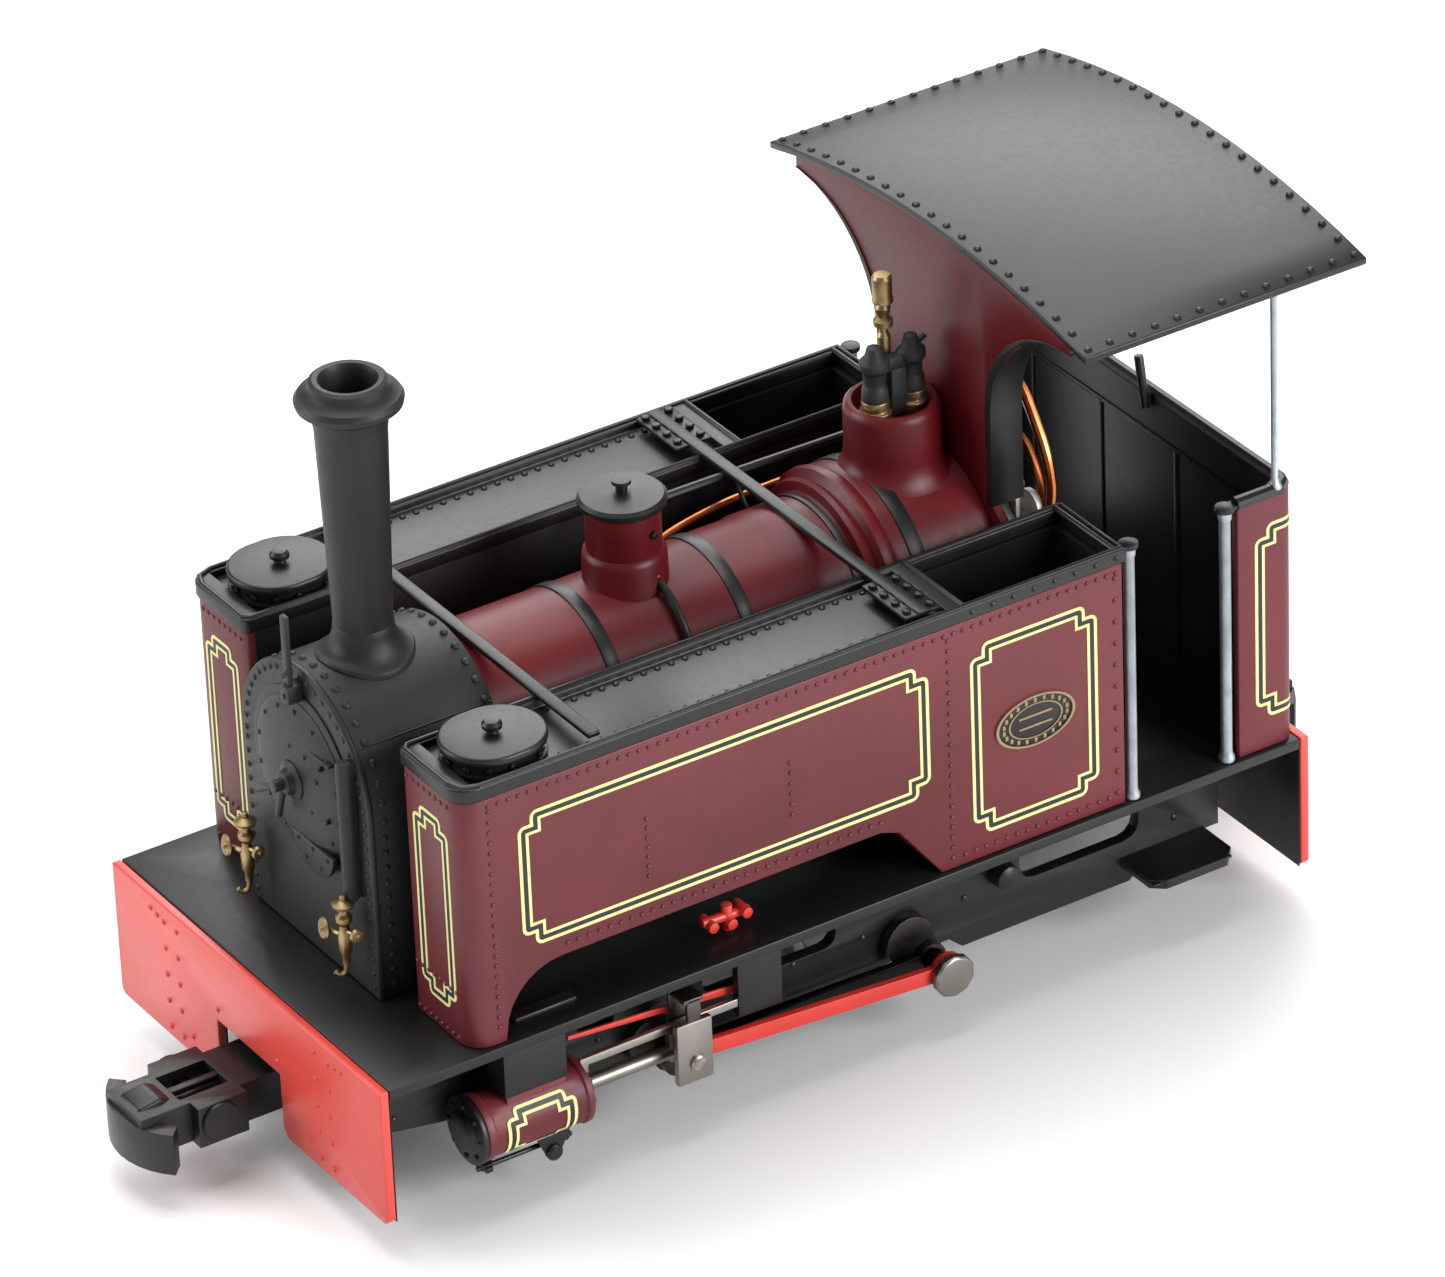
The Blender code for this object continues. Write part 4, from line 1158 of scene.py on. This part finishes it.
@dataclass
class Boiler:
    """Barrel and firebox with their bands, domes, valves and pipes."""

    radius: float = 4.85
    firebox: float = 6.0
    centre: float = BOILER_LEVEL
    sand_station: float = 23.2
    dome_station: float = 39.3
    valve_stations: tuple[float, float] = (38.2, 40.4)
    valve_x: float = 0.2

    def build(self) -> None:
        """Build and dress the boiler and what stands on it."""
        self.barrel()
        self.bands()
        self.sand_dome()
        self.steam_dome()
        self.valves()
        self.pipes()

    def barrel(self) -> None:
        """The rolled barrel, the beads of the firebox throat and the firebox."""
        r, f = self.radius, self.firebox
        profile = [(0, -40.3), (4.15, -40.3), (4.15, -12.46), (r, -12.46), (r, -30.9),
                   (r + 0.1, -31.1), (r + 0.1, -34.3), (r + 0.3, -34.5), (r + 0.75, -34.6),
                   (r + 0.85, -34.85), (r + 0.75, -35.1), (f - 0.25, -35.2), (f + 0.05, -35.4),
                   (f + 0.1, -35.75), (f + 0.02, -36.05), (f - 0.05, -36.15), (f, -36.4),
                   (f, -41.84), (0, -41.84)]
        barrel = Shape().turned(profile, (0, 0, self.centre), Way.AHEAD.value, 96)
        barrel.finished("boiler_barrel", CRIMSON, "boiler")
        dress("ballast", "ballast_cast", ZINC, 0.1)

    def bands(self) -> None:
        """The black cleading bands round barrel and firebox."""
        bands = Shape()
        for station, radius, width in ((19.4, self.radius, 0.75), (27.3, self.radius, 0.75),
                                       (34.0, self.radius + 0.1, 0.5), (36.9, self.firebox, 0.85)):
            inner, outer = radius - 0.05, radius + 0.09
            bands.turned([(inner, 0), (outer, 0), (outer, width), (inner, width)],
                         (0, station, self.centre), Way.ASTERN.value, 96, 0.03, closed=True)
        bands.finished("boiler_bands", BLACK)

    def sand_dome(self) -> None:
        """The maroon sand dome with its black lid, knob, bolt and delivery pipes."""
        profile = [(0, 14.0), (2.3, 14.0), (2.3, 14.75), (2.18, 15.0), (2.16, 16.3), (2.05, 16.55),
                   (1.93, 16.65), (1.93, 19.05), (0, 19.05)]
        dome = Shape().turned(profile, (0, self.sand_station, 0), steps=56,
                              reshape=saddled(self.radius, 16.2, 15.5))
        dome.turned([(0, 0), (0.3, 0), (0.3, 0.35), (0.18, 0.5), (0, 0.5)],
                    (1.6, self.sand_station + 0.6, 15.5), Vector((1, 0.2, -0.3)), 16)
        dome.finished("sand_dome_body", CRIMSON, "sand_dome")
        lid = Shape().turned([(0, 19.05), (2.1, 19.05), (2.26, 19.2), (2.28, 19.45), (2.1, 19.62),
                              (1.0, 19.75), (0.3, 19.8), (0.3, 20.1), (0.5, 20.2), (0.5, 20.4),
                              (0, 20.45)], (0, self.sand_station, 0), steps=56)
        lid.rod((1.8, self.sand_station + 0.5, 17.9), (2.1, self.sand_station + 0.6, 17.9), 0.2, 12)
        lid.finished("sand_dome_lid", BLACK)
        pipe = Shape()
        for side in Side:
            bends = ((2.5, 14.9), (3.6, 14.1), (4.7, 12.6), (5.15, 10.4), (5.0, 8.4))
            run = [(side.value * x, 24.0, level) for x, level in bends]
            pipe.pipe([(side.value * 1.9, 23.9, 15.2), *run], 0.22)
        pipe.finished("sand_pipes", BLACK)

    def steam_dome(self) -> None:
        """The cupped maroon dome over the firebox."""
        profile = [(0, 18.75), (1.75, 18.75), (1.85, 18.95), (1.9, 19.35), (2.05, 19.55),
                   (2.25, 19.56), (2.42, 19.4), (2.5, 19.1), (2.5, 16.9), (2.6, 16.4), (2.9, 16.05),
                   (3.1, 15.95), (3.1, 15.6), (0, 15.6)]
        dome = Shape().turned(profile, (0, self.dome_station, 0), steps=64,
                              reshape=saddled(self.firebox, 17.4, 15.5))
        dome.finished("steam_dome_body", CRIMSON, "steam_dome")

    def valves(self) -> None:
        """The pair of safety valves with their lever, and the whistle behind them."""
        black = Shape()
        for station in self.valve_stations:
            black.turned([(0, 19.9), (0.72, 19.9), (0.66, 20.6), (0.55, 20.8), (0.6, 21.5),
                          (0.78, 21.7), (0.78, 22.1), (0.5, 22.4), (0.36, 22.9), (0, 23.0)],
                         (self.valve_x, station, 0), steps=20, bevel=0.05)
        black.block((-0.15, 37.8, 21.3), (0.55, 40.9, 22.1), 0.2)
        black.block((-0.5, 38.9, 18.8), (0.7, 39.9, 21.5), 0.18)
        black.rod((self.valve_x, self.dome_station, 21.7), (self.valve_x, 41.3, 22.6), 0.16, 12)
        black.finished("safety_valve_levers", DEEP, "safety_valves")
        seats = Shape()
        for station in self.valve_stations:
            seats.turned([(0, 18.75), (0.85, 18.75), (0.85, 19.3), (0.7, 19.4), (0.72, 19.9),
                          (0.6, 20.0), (0, 20.0)], (self.valve_x, station, 0), steps=20,
                         bevel=0.04)
        seats.finished("safety_valve_seats", BRASS)
        whistle = Shape().turned(
            [(0, 18.8), (0.35, 18.8), (0.35, 22.9), (0.22, 23.1), (0.22, 23.4), (0.5, 23.5),
             (0.52, 23.8), (0.3, 24.0), (0.42, 24.5), (0.3, 24.7), (0.55, 24.85), (0.55, 25.05),
             (0.5, 25.15), (0.52, 26.2), (0.4, 26.38), (0, 26.4)],
            (-0.55, self.dome_station, 0), steps=24)
        whistle.finished("whistle_turned", BRASS, "whistle")

    def pipes(self) -> None:
        """The copper feed pipe and the handrail along the far side of the boiler."""
        feed = Shape().pipe([(-4.1, 26.0, 12.2), (-4.7, 27.6, 12.9), (-5.2, 31.5, 13.3),
                             (-5.3, 34.2, 13.4), (-5.3, 36.0, 13.4)], 0.2)
        feed.finished("feed_pipe", COPPER)
        rail = Shape()
        rail.pipe([(-5.5, 24.5, 14.7), (-5.4, 30.0, 14.9), (-5.0, 41.9, 14.9)], 0.24)
        for station in (25.0, 33.0, 40.5):
            rail.rod((-5.2, station, 14.8), (-4.0, station, 13.4), 0.14, 10)
        rail.finished("boiler_handrail", BLACK)


@dataclass
class SideTanks:
    """The side tanks with their rims, lids, rivets and lining."""

    outer: float = 12.74
    inner: float = 7.3
    front: float = 5.5
    rear: float = 44.4
    rim: float = 15.0
    lid_centre: tuple[float, float] = (10.0, 9.2)
    lid_reach: float = 2.45
    badge: tuple[float, float] = (38.95, 7.0)

    def build(self) -> None:
        """Build and dress both tanks and the stays between them."""
        for side in Side:
            self.tank(side)
            self.inside(side)
            self.top(side)
            self.lid(side)
            self.lining(side)
            self.oval_plate(side)
        self.stays()

    def plan(self, side: Side, grow: float, level: float) -> list[Point]:
        """The tank's outline seen from above, with its front corners rounded.

        Args:
            side: the locomotive's hand.
            grow: how far outside the plating it runs.
            level: the outline's level.

        Returns:
            The outline's corners.
        """
        near, far = self.inner - grow, self.outer + grow
        low, high = self.front - grow, self.rear + grow
        ring = [(near, high), (near, low + 0.5)]
        for radius, x, start in ((0.5, near + 0.5, 180), (1.2 + grow, far - 1.2 - grow, 270)):
            for step in range(9):
                turn = math.radians(start + 90 * step / 8)
                ring.append((x + radius * math.cos(turn), low + radius + radius * math.sin(turn)))
        return [(side.value * x, station, level) for x, station in [*ring, (far, high)]]

    def tank(self, side: Side) -> None:
        """One tank's lacquered plating and its rows of rivets.

        Args:
            side: the locomotive's hand.
        """
        hand, node = side.value, f"tank_{side.word}"
        x = hand * self.outer
        tank = Shape().copied(node, 0.08)
        for first, last, pitch, radius in (
            ((7.1, 13.7), (44.0, 13.7), 0.58, 0.14),
            ((7.1, 1.0), (7.1, 13.4), 0.6, 0.14),
            ((33.85, 0.7), (33.85, 13.4), 0.6, 0.14),
            ((43.95, 0.8), (43.95, 13.4), 1.3, 0.17),
            ((16.0, 6.4), (16.0, 9.7), 0.55, 0.14),
            ((24.4, 6.8), (24.4, 9.8), 0.55, 0.14),
            ((11.2, 4.35), (29.6, 4.35), 0.62, 0.14),
            ((34.6, 0.65), (43.4, 0.65), 0.62, 0.14),
        ):
            tank.row((x, *first), (x, *last), Way.outward(side), pitch, radius)
        near, far = hand * (self.inner + 0.6), hand * (self.outer - 1.2)
        for level in (13.7, 3.0, 0.4):
            tank.row((near, self.front, level), (far, self.front, level), Way.AHEAD.value, 0.5,
                     0.14)
        tank.finished(f"{node}_lacquered", MAROON, node)

    def inside(self, side: Side) -> None:
        """The black faces of one tank: its inner wall, and the bunker's well, ledge and coal.

        Args:
            side: the locomotive's hand.
        """
        hand, dark = side.value, Shape()
        near, far = hand * (self.inner - 0.04), hand * (self.inner + 0.01)
        front, rear = self.front + 0.5, self.rear - 0.05
        dark.plate([(near, front, 0.1), (near, rear, 0.1), (near, rear, 14.2),
                    (near, front, 14.2)], (far - near, 0, 0), 0.01)

        def well(left: float, right: float, front: float, rear: float, level: float) -> list[Point]:
            """A rectangle seen from above, on this side of the locomotive."""
            corners = ((left, front), (right, front), (right, rear), (left, rear))
            return [(hand * x, station, level) for x, station in corners]

        liner = (7.88, 12.16, 35.28, 43.62)
        dark.band(well(7.8, 12.24, 35.2, 43.7, 10.45), well(*liner, 10.45), (0, 0, 3.7))
        dark.band(well(7.4, 12.6, 34.6, 44.2, 14.15), well(*liner, 14.15), (0, 0, 0.05))
        dark.block((hand * 7.82, 35.22, 10.41), (hand * 12.22, 43.68, 10.9), 0.04)
        dark.block((hand * 7.9, 39.2, 10.8), (hand * 12.1, 43.6, 11.8), 0.15)
        dark.finished(f"tank_{side.word}_inside", BLACK)

    def top(self, side: Side) -> None:
        """One tank's black top, with the raised bead round its rim.

        Args:
            side: the locomotive's hand.
        """
        hand, node = side.value, f"tank_top_{side.word}"
        top = Shape().copied(node, 0.1, 3)
        near, far = self.inner + 0.1, self.outer - 0.05
        low, high, corner = self.front + 0.1, self.rear - 0.05, 1.1
        bead = ((near, high), (near, low + 0.3), (near + 0.3, low), (far - corner, low),
                (far - 0.3, low + 0.3), (far, low + corner), (far, high), (near, high))
        top.pipe([(hand * x, station, self.rim) for x, station in bead], 0.16, smooth=False)
        top.band(self.plan(side, 0.1, 14.26), self.plan(side, -0.3, 14.26), (0, 0, 0.36))
        for station in (34.9, 44.0):
            top.rod((hand * near, station, self.rim), (hand * far, station, self.rim), 0.16, 12)
        for x in (self.inner + 0.75, self.outer - 0.8):
            top.row((hand * x, 7.8, 14.55), (hand * x, 33.6, 14.55), Way.UP.value, 0.8, 0.19, 0.14)
        edge = hand * (self.outer + 0.1)
        top.row((edge, 35.3, 14.6), (edge, 44.0, 14.6), Way.outward(side), 1.3, 0.17, 0.12)
        top.finished(f"{node}_sprayed", BLACK, node)

    def lid(self, side: Side) -> None:
        """One filler: a riveted curb, an oval lid and its knob.

        Args:
            side: the locomotive's hand.
        """
        node, (x, station) = f"filler_lid_{side.word}", self.lid_centre
        middle = Vector((side.value * x, station, 0.0))

        def oval(radius: float, level: float) -> list[Point]:
            """The lid's outline: two half rounds with a short straight run between them.

            Args:
                radius: the radius of both half rounds.
                level: the outline's level.

            Returns:
                The outline's corners.
            """
            ring = []
            for step in range(48):
                turn = math.tau * step / 48
                push = 0.3 if math.sin(turn) > 0 else -0.3
                ring.append((middle.x + radius * math.cos(turn),
                             middle.y + radius * math.sin(turn) + push, level))
            return ring

        lid = Shape()
        lid.plate(oval(self.lid_reach - 0.3, 14.61), (0, 0, 0.9), 0.05)
        lid.plate(oval(self.lid_reach - 0.05, 14.61), (0, 0, 0.2), 0.06)
        lid.plate(oval(self.lid_reach, 15.35), (0, 0, 0.5), 0.16, 3)
        for spot in oval(self.lid_reach - 0.28, 0)[::4]:
            lid.nut((spot[0], spot[1], 15.05), (Vector(spot) - middle).normalized(), 0.17, 0.16)
        lid.turned([(0, 0), (0.32, 0), (0.28, 0.18), (0.5, 0.3), (0.52, 0.5), (0.36, 0.68),
                    (0, 0.74)], (middle.x, middle.y, 15.82), steps=24)
        lid.finished(f"{node}_sprayed", BLACK, node)

    def lining(self, side: Side) -> None:
        """One side's lined panels, two on the side and one on the front.

        Args:
            side: the locomotive's hand.
        """
        hand, lining = side.value, Lining()
        x = hand * self.outer
        for first, last, low, high in ((8.68, 32.64, 4.91, 12.6), (35.13, 42.8, 1.44, 12.55)):
            middle = ((first + last) / 2, (low + high) / 2)
            size = ((last - first) / 2, (high - low) / 2)
            lining.flat(
                lambda inset: [(x, middle[0] + s, middle[1] + v) for s, v in notched(*size, inset)],
                (hand * 0.025, 0, 0))
        lining.flat(lambda inset: [(hand * 9.9 + s, self.front, 7.15 + v)
                                   for s, v in notched(1.6, 5.45, inset, 0.62, 0.35)],
                    (0, -0.025, 0))
        lining.finished(f"tank_lining_cream_{side.word}", f"tank_lining_black_{side.word}")

    def oval_plate(self, side: Side) -> None:
        """The etched oval plate on the bunker: raised rim and blank bars on a dark field.

        Args:
            side: the locomotive's hand.
        """
        hand, (middle, height) = side.value, self.badge
        x = hand * self.outer

        def oval(share: float) -> list[Point]:
            """The plate's outline at a share of its size."""
            return [(x, middle + 2.4 * share * math.cos(math.tau * s / 40),
                     height + 1.45 * share * math.sin(math.tau * s / 40)) for s in range(40)]

        raised = Shape().band(oval(1.0), oval(0.93), (hand * 0.12, 0, 0))
        raised.band(oval(0.68), oval(0.64), (hand * 0.1, 0, 0))
        marks = [(middle, height + 0.3, 1.0, 0.06), (middle, height - 0.3, 1.0, 0.06)]
        for step in range(22):
            turn = math.tau * (step + 0.5) / 22
            marks.append((middle + 1.93 * math.cos(turn), height + 1.16 * math.sin(turn),
                          0.09, 0.13))
        for station, level, reach, rise in marks:
            raised.block((x, station - reach, level - rise),
                         (x + hand * 0.1, station + reach, level + rise), 0.02)
        raised.finished(f"oval_plate_marks_{side.word}", ETCHED)
        field = Shape().plate(oval(0.97), (hand * 0.06, 0, 0), 0.02)
        field.finished(f"oval_plate_field_{side.word}", BLACK)

    def stays(self) -> None:
        """The two cross stays, the rear one bolted down through its pads."""
        dress("stay_front", "stay_front_bar", BLACK, 0.08)
        rear = Shape().copied("stay_rear", 0.06)
        for side in Side:
            for bolt in range(4):
                for station in (32.05, 33.45):
                    spot = (side.value * (8.9 + bolt), station, 15.26)
                    rear.nut(spot, Way.UP.value, 0.24, 0.2)
        rear.finished("stay_rear_bar", BLACK, "stay_rear")


@dataclass
class Cab:
    """The cab's sheets, roof, posts and the fittings on the backhead."""

    roof_crown: float = 29.1
    roof_half: float = 14.04
    roof_sag: float = 1.7
    roof_span: tuple[float, float] = (41.5, 58.6)
    sheet_face: float = 41.84
    bend: float = 0.82
    flat_half: float = 11.94
    panel_level: float = 7.6
    post_x: float = 12.45

    def build(self) -> None:
        """Build and dress the cab."""
        self.front_sheet()
        self.roof()
        self.rear_sheet()
        self.posts()
        self.backhead()

    def roof_level(self, x: float) -> float:
        """The level of the roof's upper face at one x."""
        radius = (self.roof_half**2 + self.roof_sag**2) / (2 * self.roof_sag)
        return self.roof_crown - radius + math.sqrt(radius**2 - x**2)

    def front_sheet(self) -> None:
        """The maroon front sheet and the black beading round its openings."""
        dress("cab_front", "cab_front_lacquered", CRIMSON, 0.06)
        bead = Shape()
        for side in Side:
            edge = [(5.0, 14.6), (5.0, 20.0)]
            for step in range(1, 13):
                turn = math.radians(90 * step / 12)
                edge.append((5.0 + 7.2 * (1 - math.cos(turn)), 20.0 + 6.6 * math.sin(turn)))
            inner = [(side.value * (x - 0.42), self.sheet_face, level) for x, level in edge]
            outer = [(side.value * (x + 0.06), self.sheet_face, level) for x, level in edge[::-1]]
            bead.plate([*inner, *outer], (0, 1.95, 0), 0.1, 3)
        bead.finished("cab_front_beading", BLACK)

    def roof(self) -> None:
        """The rolled roof with its rows of rivets and the brackets under its eaves."""
        roof, count, head = Shape().copied("cab_roof", 0.09), 20, (0.22, 0.16)
        front, rear = self.roof_span
        for step in range(count + 1):
            x = (self.roof_half - 0.45) * (2 * step / count - 1)
            slope = x / (self.roof_half**2 / (2 * self.roof_sag))
            facing = Vector((slope, 0, 1)).normalized()
            for station in (front + 0.5, rear - 0.45):
                roof.rivet(place(x, station, self.roof_level(x)), facing, *head)
        for side in Side:
            hand = side.value
            for station in (front + 1.2, 54.0):
                roof.block((hand * 12.0, station - 0.45, 26.85),
                           (hand * 12.9, station + 0.45, 27.25), 0.06)
            x = hand * (self.roof_half - 0.45)
            level, facing = self.roof_level(x), Vector((hand * 0.23, 0, 1)).normalized()
            roof.row((x, front + 1.8, level), (x, rear - 1.8, level), facing, 1.3, *head)
        roof.finished("cab_roof_sprayed", BLACK, "cab_roof")

    def rear_sheet(self) -> None:
        """The rear sheet: lacquered outside, black inside, with a rolled black top edge."""
        dress("cab_rear", "cab_rear_lacquered", MAROON, 0.06)
        trim = Shape()
        edge = [(12.5, 51.5), (12.5, 54.2), (12.15, 54.65), (11.7, 54.8)]
        path = [*edge, *[(-x, station) for x, station in reversed(edge)]]
        trim.pipe([(x, station, 14.95) for x, station in path], 0.38, smooth=False)
        trim.block((-11.6, 54.4, 0.1), (11.6, 54.52, 14.9), 0.03)
        for side in Side:
            x = side.value
            trim.block((x * 12.1, 51.6, 0.1), (x * 12.22, 53.9, 14.9), 0.03)
            for across in (3.2, 9.4):
                trim.block((x * across, 54.3, 0.2), (x * (across + 0.25), 54.45, 12.9), 0.04)
        trim.block((-9.65, 54.3, 12.7), (9.65, 54.45, 12.95), 0.04)
        trim.rod((1.08, 54.1, 14.4), (0.51, 54.1, 17.2), 0.26, 12)
        trim.finished("cab_rear_trim", BLACK)
        lining = Lining()
        lining.curved(14.95, 5.7, 0.72, 0.4, self.round_back)
        lining.finished("cab_lining_cream", "cab_lining_black")

    def round_back(self, across: float, up: float) -> Point:
        """Put a spot of the flat lined panel round the back of the cab.

        Args:
            across: how far round the back it is from the middle, positive to the left.
            up: how far above the panel's middle it is.

        Returns:
            The same spot on the bent sheet.
        """
        hand, reach, level = math.copysign(1, across), abs(across), self.panel_level + up
        flat, bend, corner = self.flat_half, self.bend, 54.25
        if reach < flat:
            return (across, corner + bend, level)
        turn = (reach - flat) / bend
        if turn < math.pi / 2:
            return (hand * (flat + bend * math.sin(turn)), corner + bend * math.cos(turn), level)
        return (hand * (flat + bend), corner - (reach - flat - bend * math.pi / 2), level)

    def posts(self) -> None:
        """The four pale handrails with their top brackets, and the two thin roof pillars."""
        for side in Side:
            x, pillar = side.value * self.post_x, f"roof_pillar_{side.word}"
            profile = [(0, 15.06), (0.4, 15.06), (0.4, 15.2), (0.25, 15.35), (0.18, 15.6),
                       (0.18, 26.9), (0.4, 27.05), (0.4, 27.22), (0, 27.22)]
            post = Shape().turned(profile, (x, 54.0, 0), steps=20)
            post.finished(f"{pillar}_drawn", WIRE, pillar)
            for end, station in ((End.FRONT, 45.0), (End.REAR, 50.9)):
                node = f"handrail_{end.word}_{side.word}"
                profile = [(0, 0.06), (0.42, 0.06), (0.42, 0.3), (0.34, 0.45), (0.3, 0.7),
                           (0.3, 14.2), (0.36, 14.3), (0.36, 14.8), (0, 14.8)]
                rail = Shape().turned(profile, (x, station, 0), steps=20)
                rail.finished(f"{node}_drawn", WIRE, node)
                cap = Shape().turned([(0, 14.75), (0.5, 14.75), (0.52, 14.9), (0.5, 15.02),
                                      (0.3, 15.08), (0, 15.1)], (x, station, 0), steps=24)
                cap.block((x - 0.35, station, 14.76), (x + 0.35, station + end.value * 0.75, 15.0),
                          0.06)
                cap.finished(f"{node}_bracket", BLACK)

    def backhead(self) -> None:
        """The backhead with its pipes, taps, regulator rod and gauges."""
        Shape().copied("backhead", 0.15, 3).finished("backhead_cast", BLACK, "backhead")
        copper = Shape()
        copper.pipe([(2.3, 44.2, 20.8), (2.9, 45.0, 20.3), (4.4, 45.0, 18.3), (5.6, 45.0, 16.4),
                     (5.9, 45.0, 13.9), (5.4, 44.2, 11.0)], 0.28)
        copper.pipe([(2.2, 44.2, 17.6), (3.1, 45.0, 17.1), (4.4, 45.0, 15.6), (5.1, 45.0, 14.0),
                     (4.8, 44.2, 12.0)], 0.24)
        copper.pipe([(-2.0, 44.2, 18.5), (-2.8, 44.3, 16.5), (-3.2, 44.2, 12.5)], 0.24)
        copper.finished("cab_pipes", COPPER)
        brass = Shape()
        for x, level in ((2.3, 18.8), (2.6, 13.8), (-1.6, 13.4), (0.4, 15.8)):
            brass.turned([(0, 0), (0.6, 0), (0.6, 0.5), (0.35, 0.7), (0.35, 1.2), (0.5, 1.3),
                          (0.4, 1.6), (0, 1.6)], (x, 43.65, level), Way.ASTERN.value, 20)
        brass.rod((2.0, 44.3, 10.5), (2.0, 44.3, 14.4), 0.2, 12)
        brass.finished("cab_taps", BRASS)
        gauge = Shape()
        gauge.turned([(0, 0), (0.95, 0), (0.95, 0.35), (0.85, 0.4), (0, 0.4)], (4.6, 44.3, 13.6),
                     Way.ASTERN.value, 28, 0.03)
        gauge.block((3.7, 43.8, 12.6), (4.3, 44.1, 14.2), 0.08)
        gauge.finished("cab_gauges", ENAMEL)


@dataclass
class Studio:
    """Pale floor, soft light and the camera."""

    lens: float = 236.208
    sensor: float = 36.0
    room: float = 0.3
    aim: Point = (0.0, 0.0, 0.015)
    stand: Point = (0.34664, -0.21483, 0.26579)
    turn: Point = (1.0267, 0.0354, 0.9927)

    def build(self) -> None:
        """Lay the floor, hang the lights and stand the camera."""
        self.floor()
        self.lights()
        self.camera()

    def floor(self) -> None:
        """A plain pale floor under the wheels."""
        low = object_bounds()[0]
        sheet = bmesh.new()
        bmesh.ops.create_grid(sheet, x_segments=1, y_segments=1, size=3.0)
        bmesh.ops.translate(sheet, verts=sheet.verts[:], vec=(0, 0, low[2] - 0.00002))
        data = bpy.data.meshes.new("floor")
        sheet.to_mesh(data)
        sheet.free()
        paper = bpy.data.materials.new("white_paper_sweep")
        paper.use_nodes = True
        surface = paper.node_tree.nodes["Principled BSDF"]
        surface.inputs["Base Color"].default_value = linear("#f2f2f2")
        surface.inputs["Roughness"].default_value = 0.9
        data.materials.append(paper)
        ground = bpy.data.objects.new("floor", data)
        bpy.context.scene.collection.objects.link(ground)
        ground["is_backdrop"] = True

    def lights(self) -> None:
        """Four soft lights, overhead and to the back, front and side, in a white room."""
        world = bpy.data.worlds.new("white_room")
        world.use_nodes = True
        room = world.node_tree.nodes["Background"]
        room.inputs["Color"].default_value = (1, 1, 1, 1)
        room.inputs["Strength"].default_value = self.room
        bpy.context.scene.world = world
        for name, spot, size, power in (
            ("overhead_softbox", (-0.12, 0.02, 0.55), 0.5, 2.6),
            ("back_softbox", (-0.5, 0.36, 0.42), 0.55, 3.2),
            ("front_softbox", (-0.35, -0.5, 0.25), 0.4, 2.4),
            ("side_softbox", (0.55, 0.25, 0.25), 0.4, 4.4),
        ):
            lamp = bpy.data.lights.new(name, "AREA")
            lamp.shape, lamp.size, lamp.energy = "DISK", size, power
            holder = bpy.data.objects.new(name, lamp)
            holder.location = spot
            beam = Vector(self.aim) - Vector(spot)
            holder.rotation_euler = beam.to_track_quat("-Z", "Y").to_euler()
            bpy.context.scene.collection.objects.link(holder)
        bpy.context.scene.view_settings.view_transform = "Standard"

    def camera(self) -> None:
        """A long lens from the front left, looking down."""
        data = bpy.data.cameras.new("camera")
        data.lens = self.lens
        data.sensor_width = self.sensor
        data.clip_start, data.clip_end = 0.01, 10.0
        holder = bpy.data.objects.new("camera", data)
        holder.location, holder.rotation_euler = self.stand, self.turn
        bpy.context.scene.collection.objects.link(holder)
        bpy.context.scene.camera = holder


def main() -> None:
    """Build every sub-assembly in order, then the studio."""
    logging.basicConfig(level=logging.INFO, format="%(message)s")
    for assembly in (Chassis(), Drive(), Motion(), Couplers(), Smokebox(), Boiler(), SideTanks(),
                     Cab(), Studio()):
        LOG.info("building %s", type(assembly).__name__)
        assembly.build()


if __name__ == "__main__":
    main()
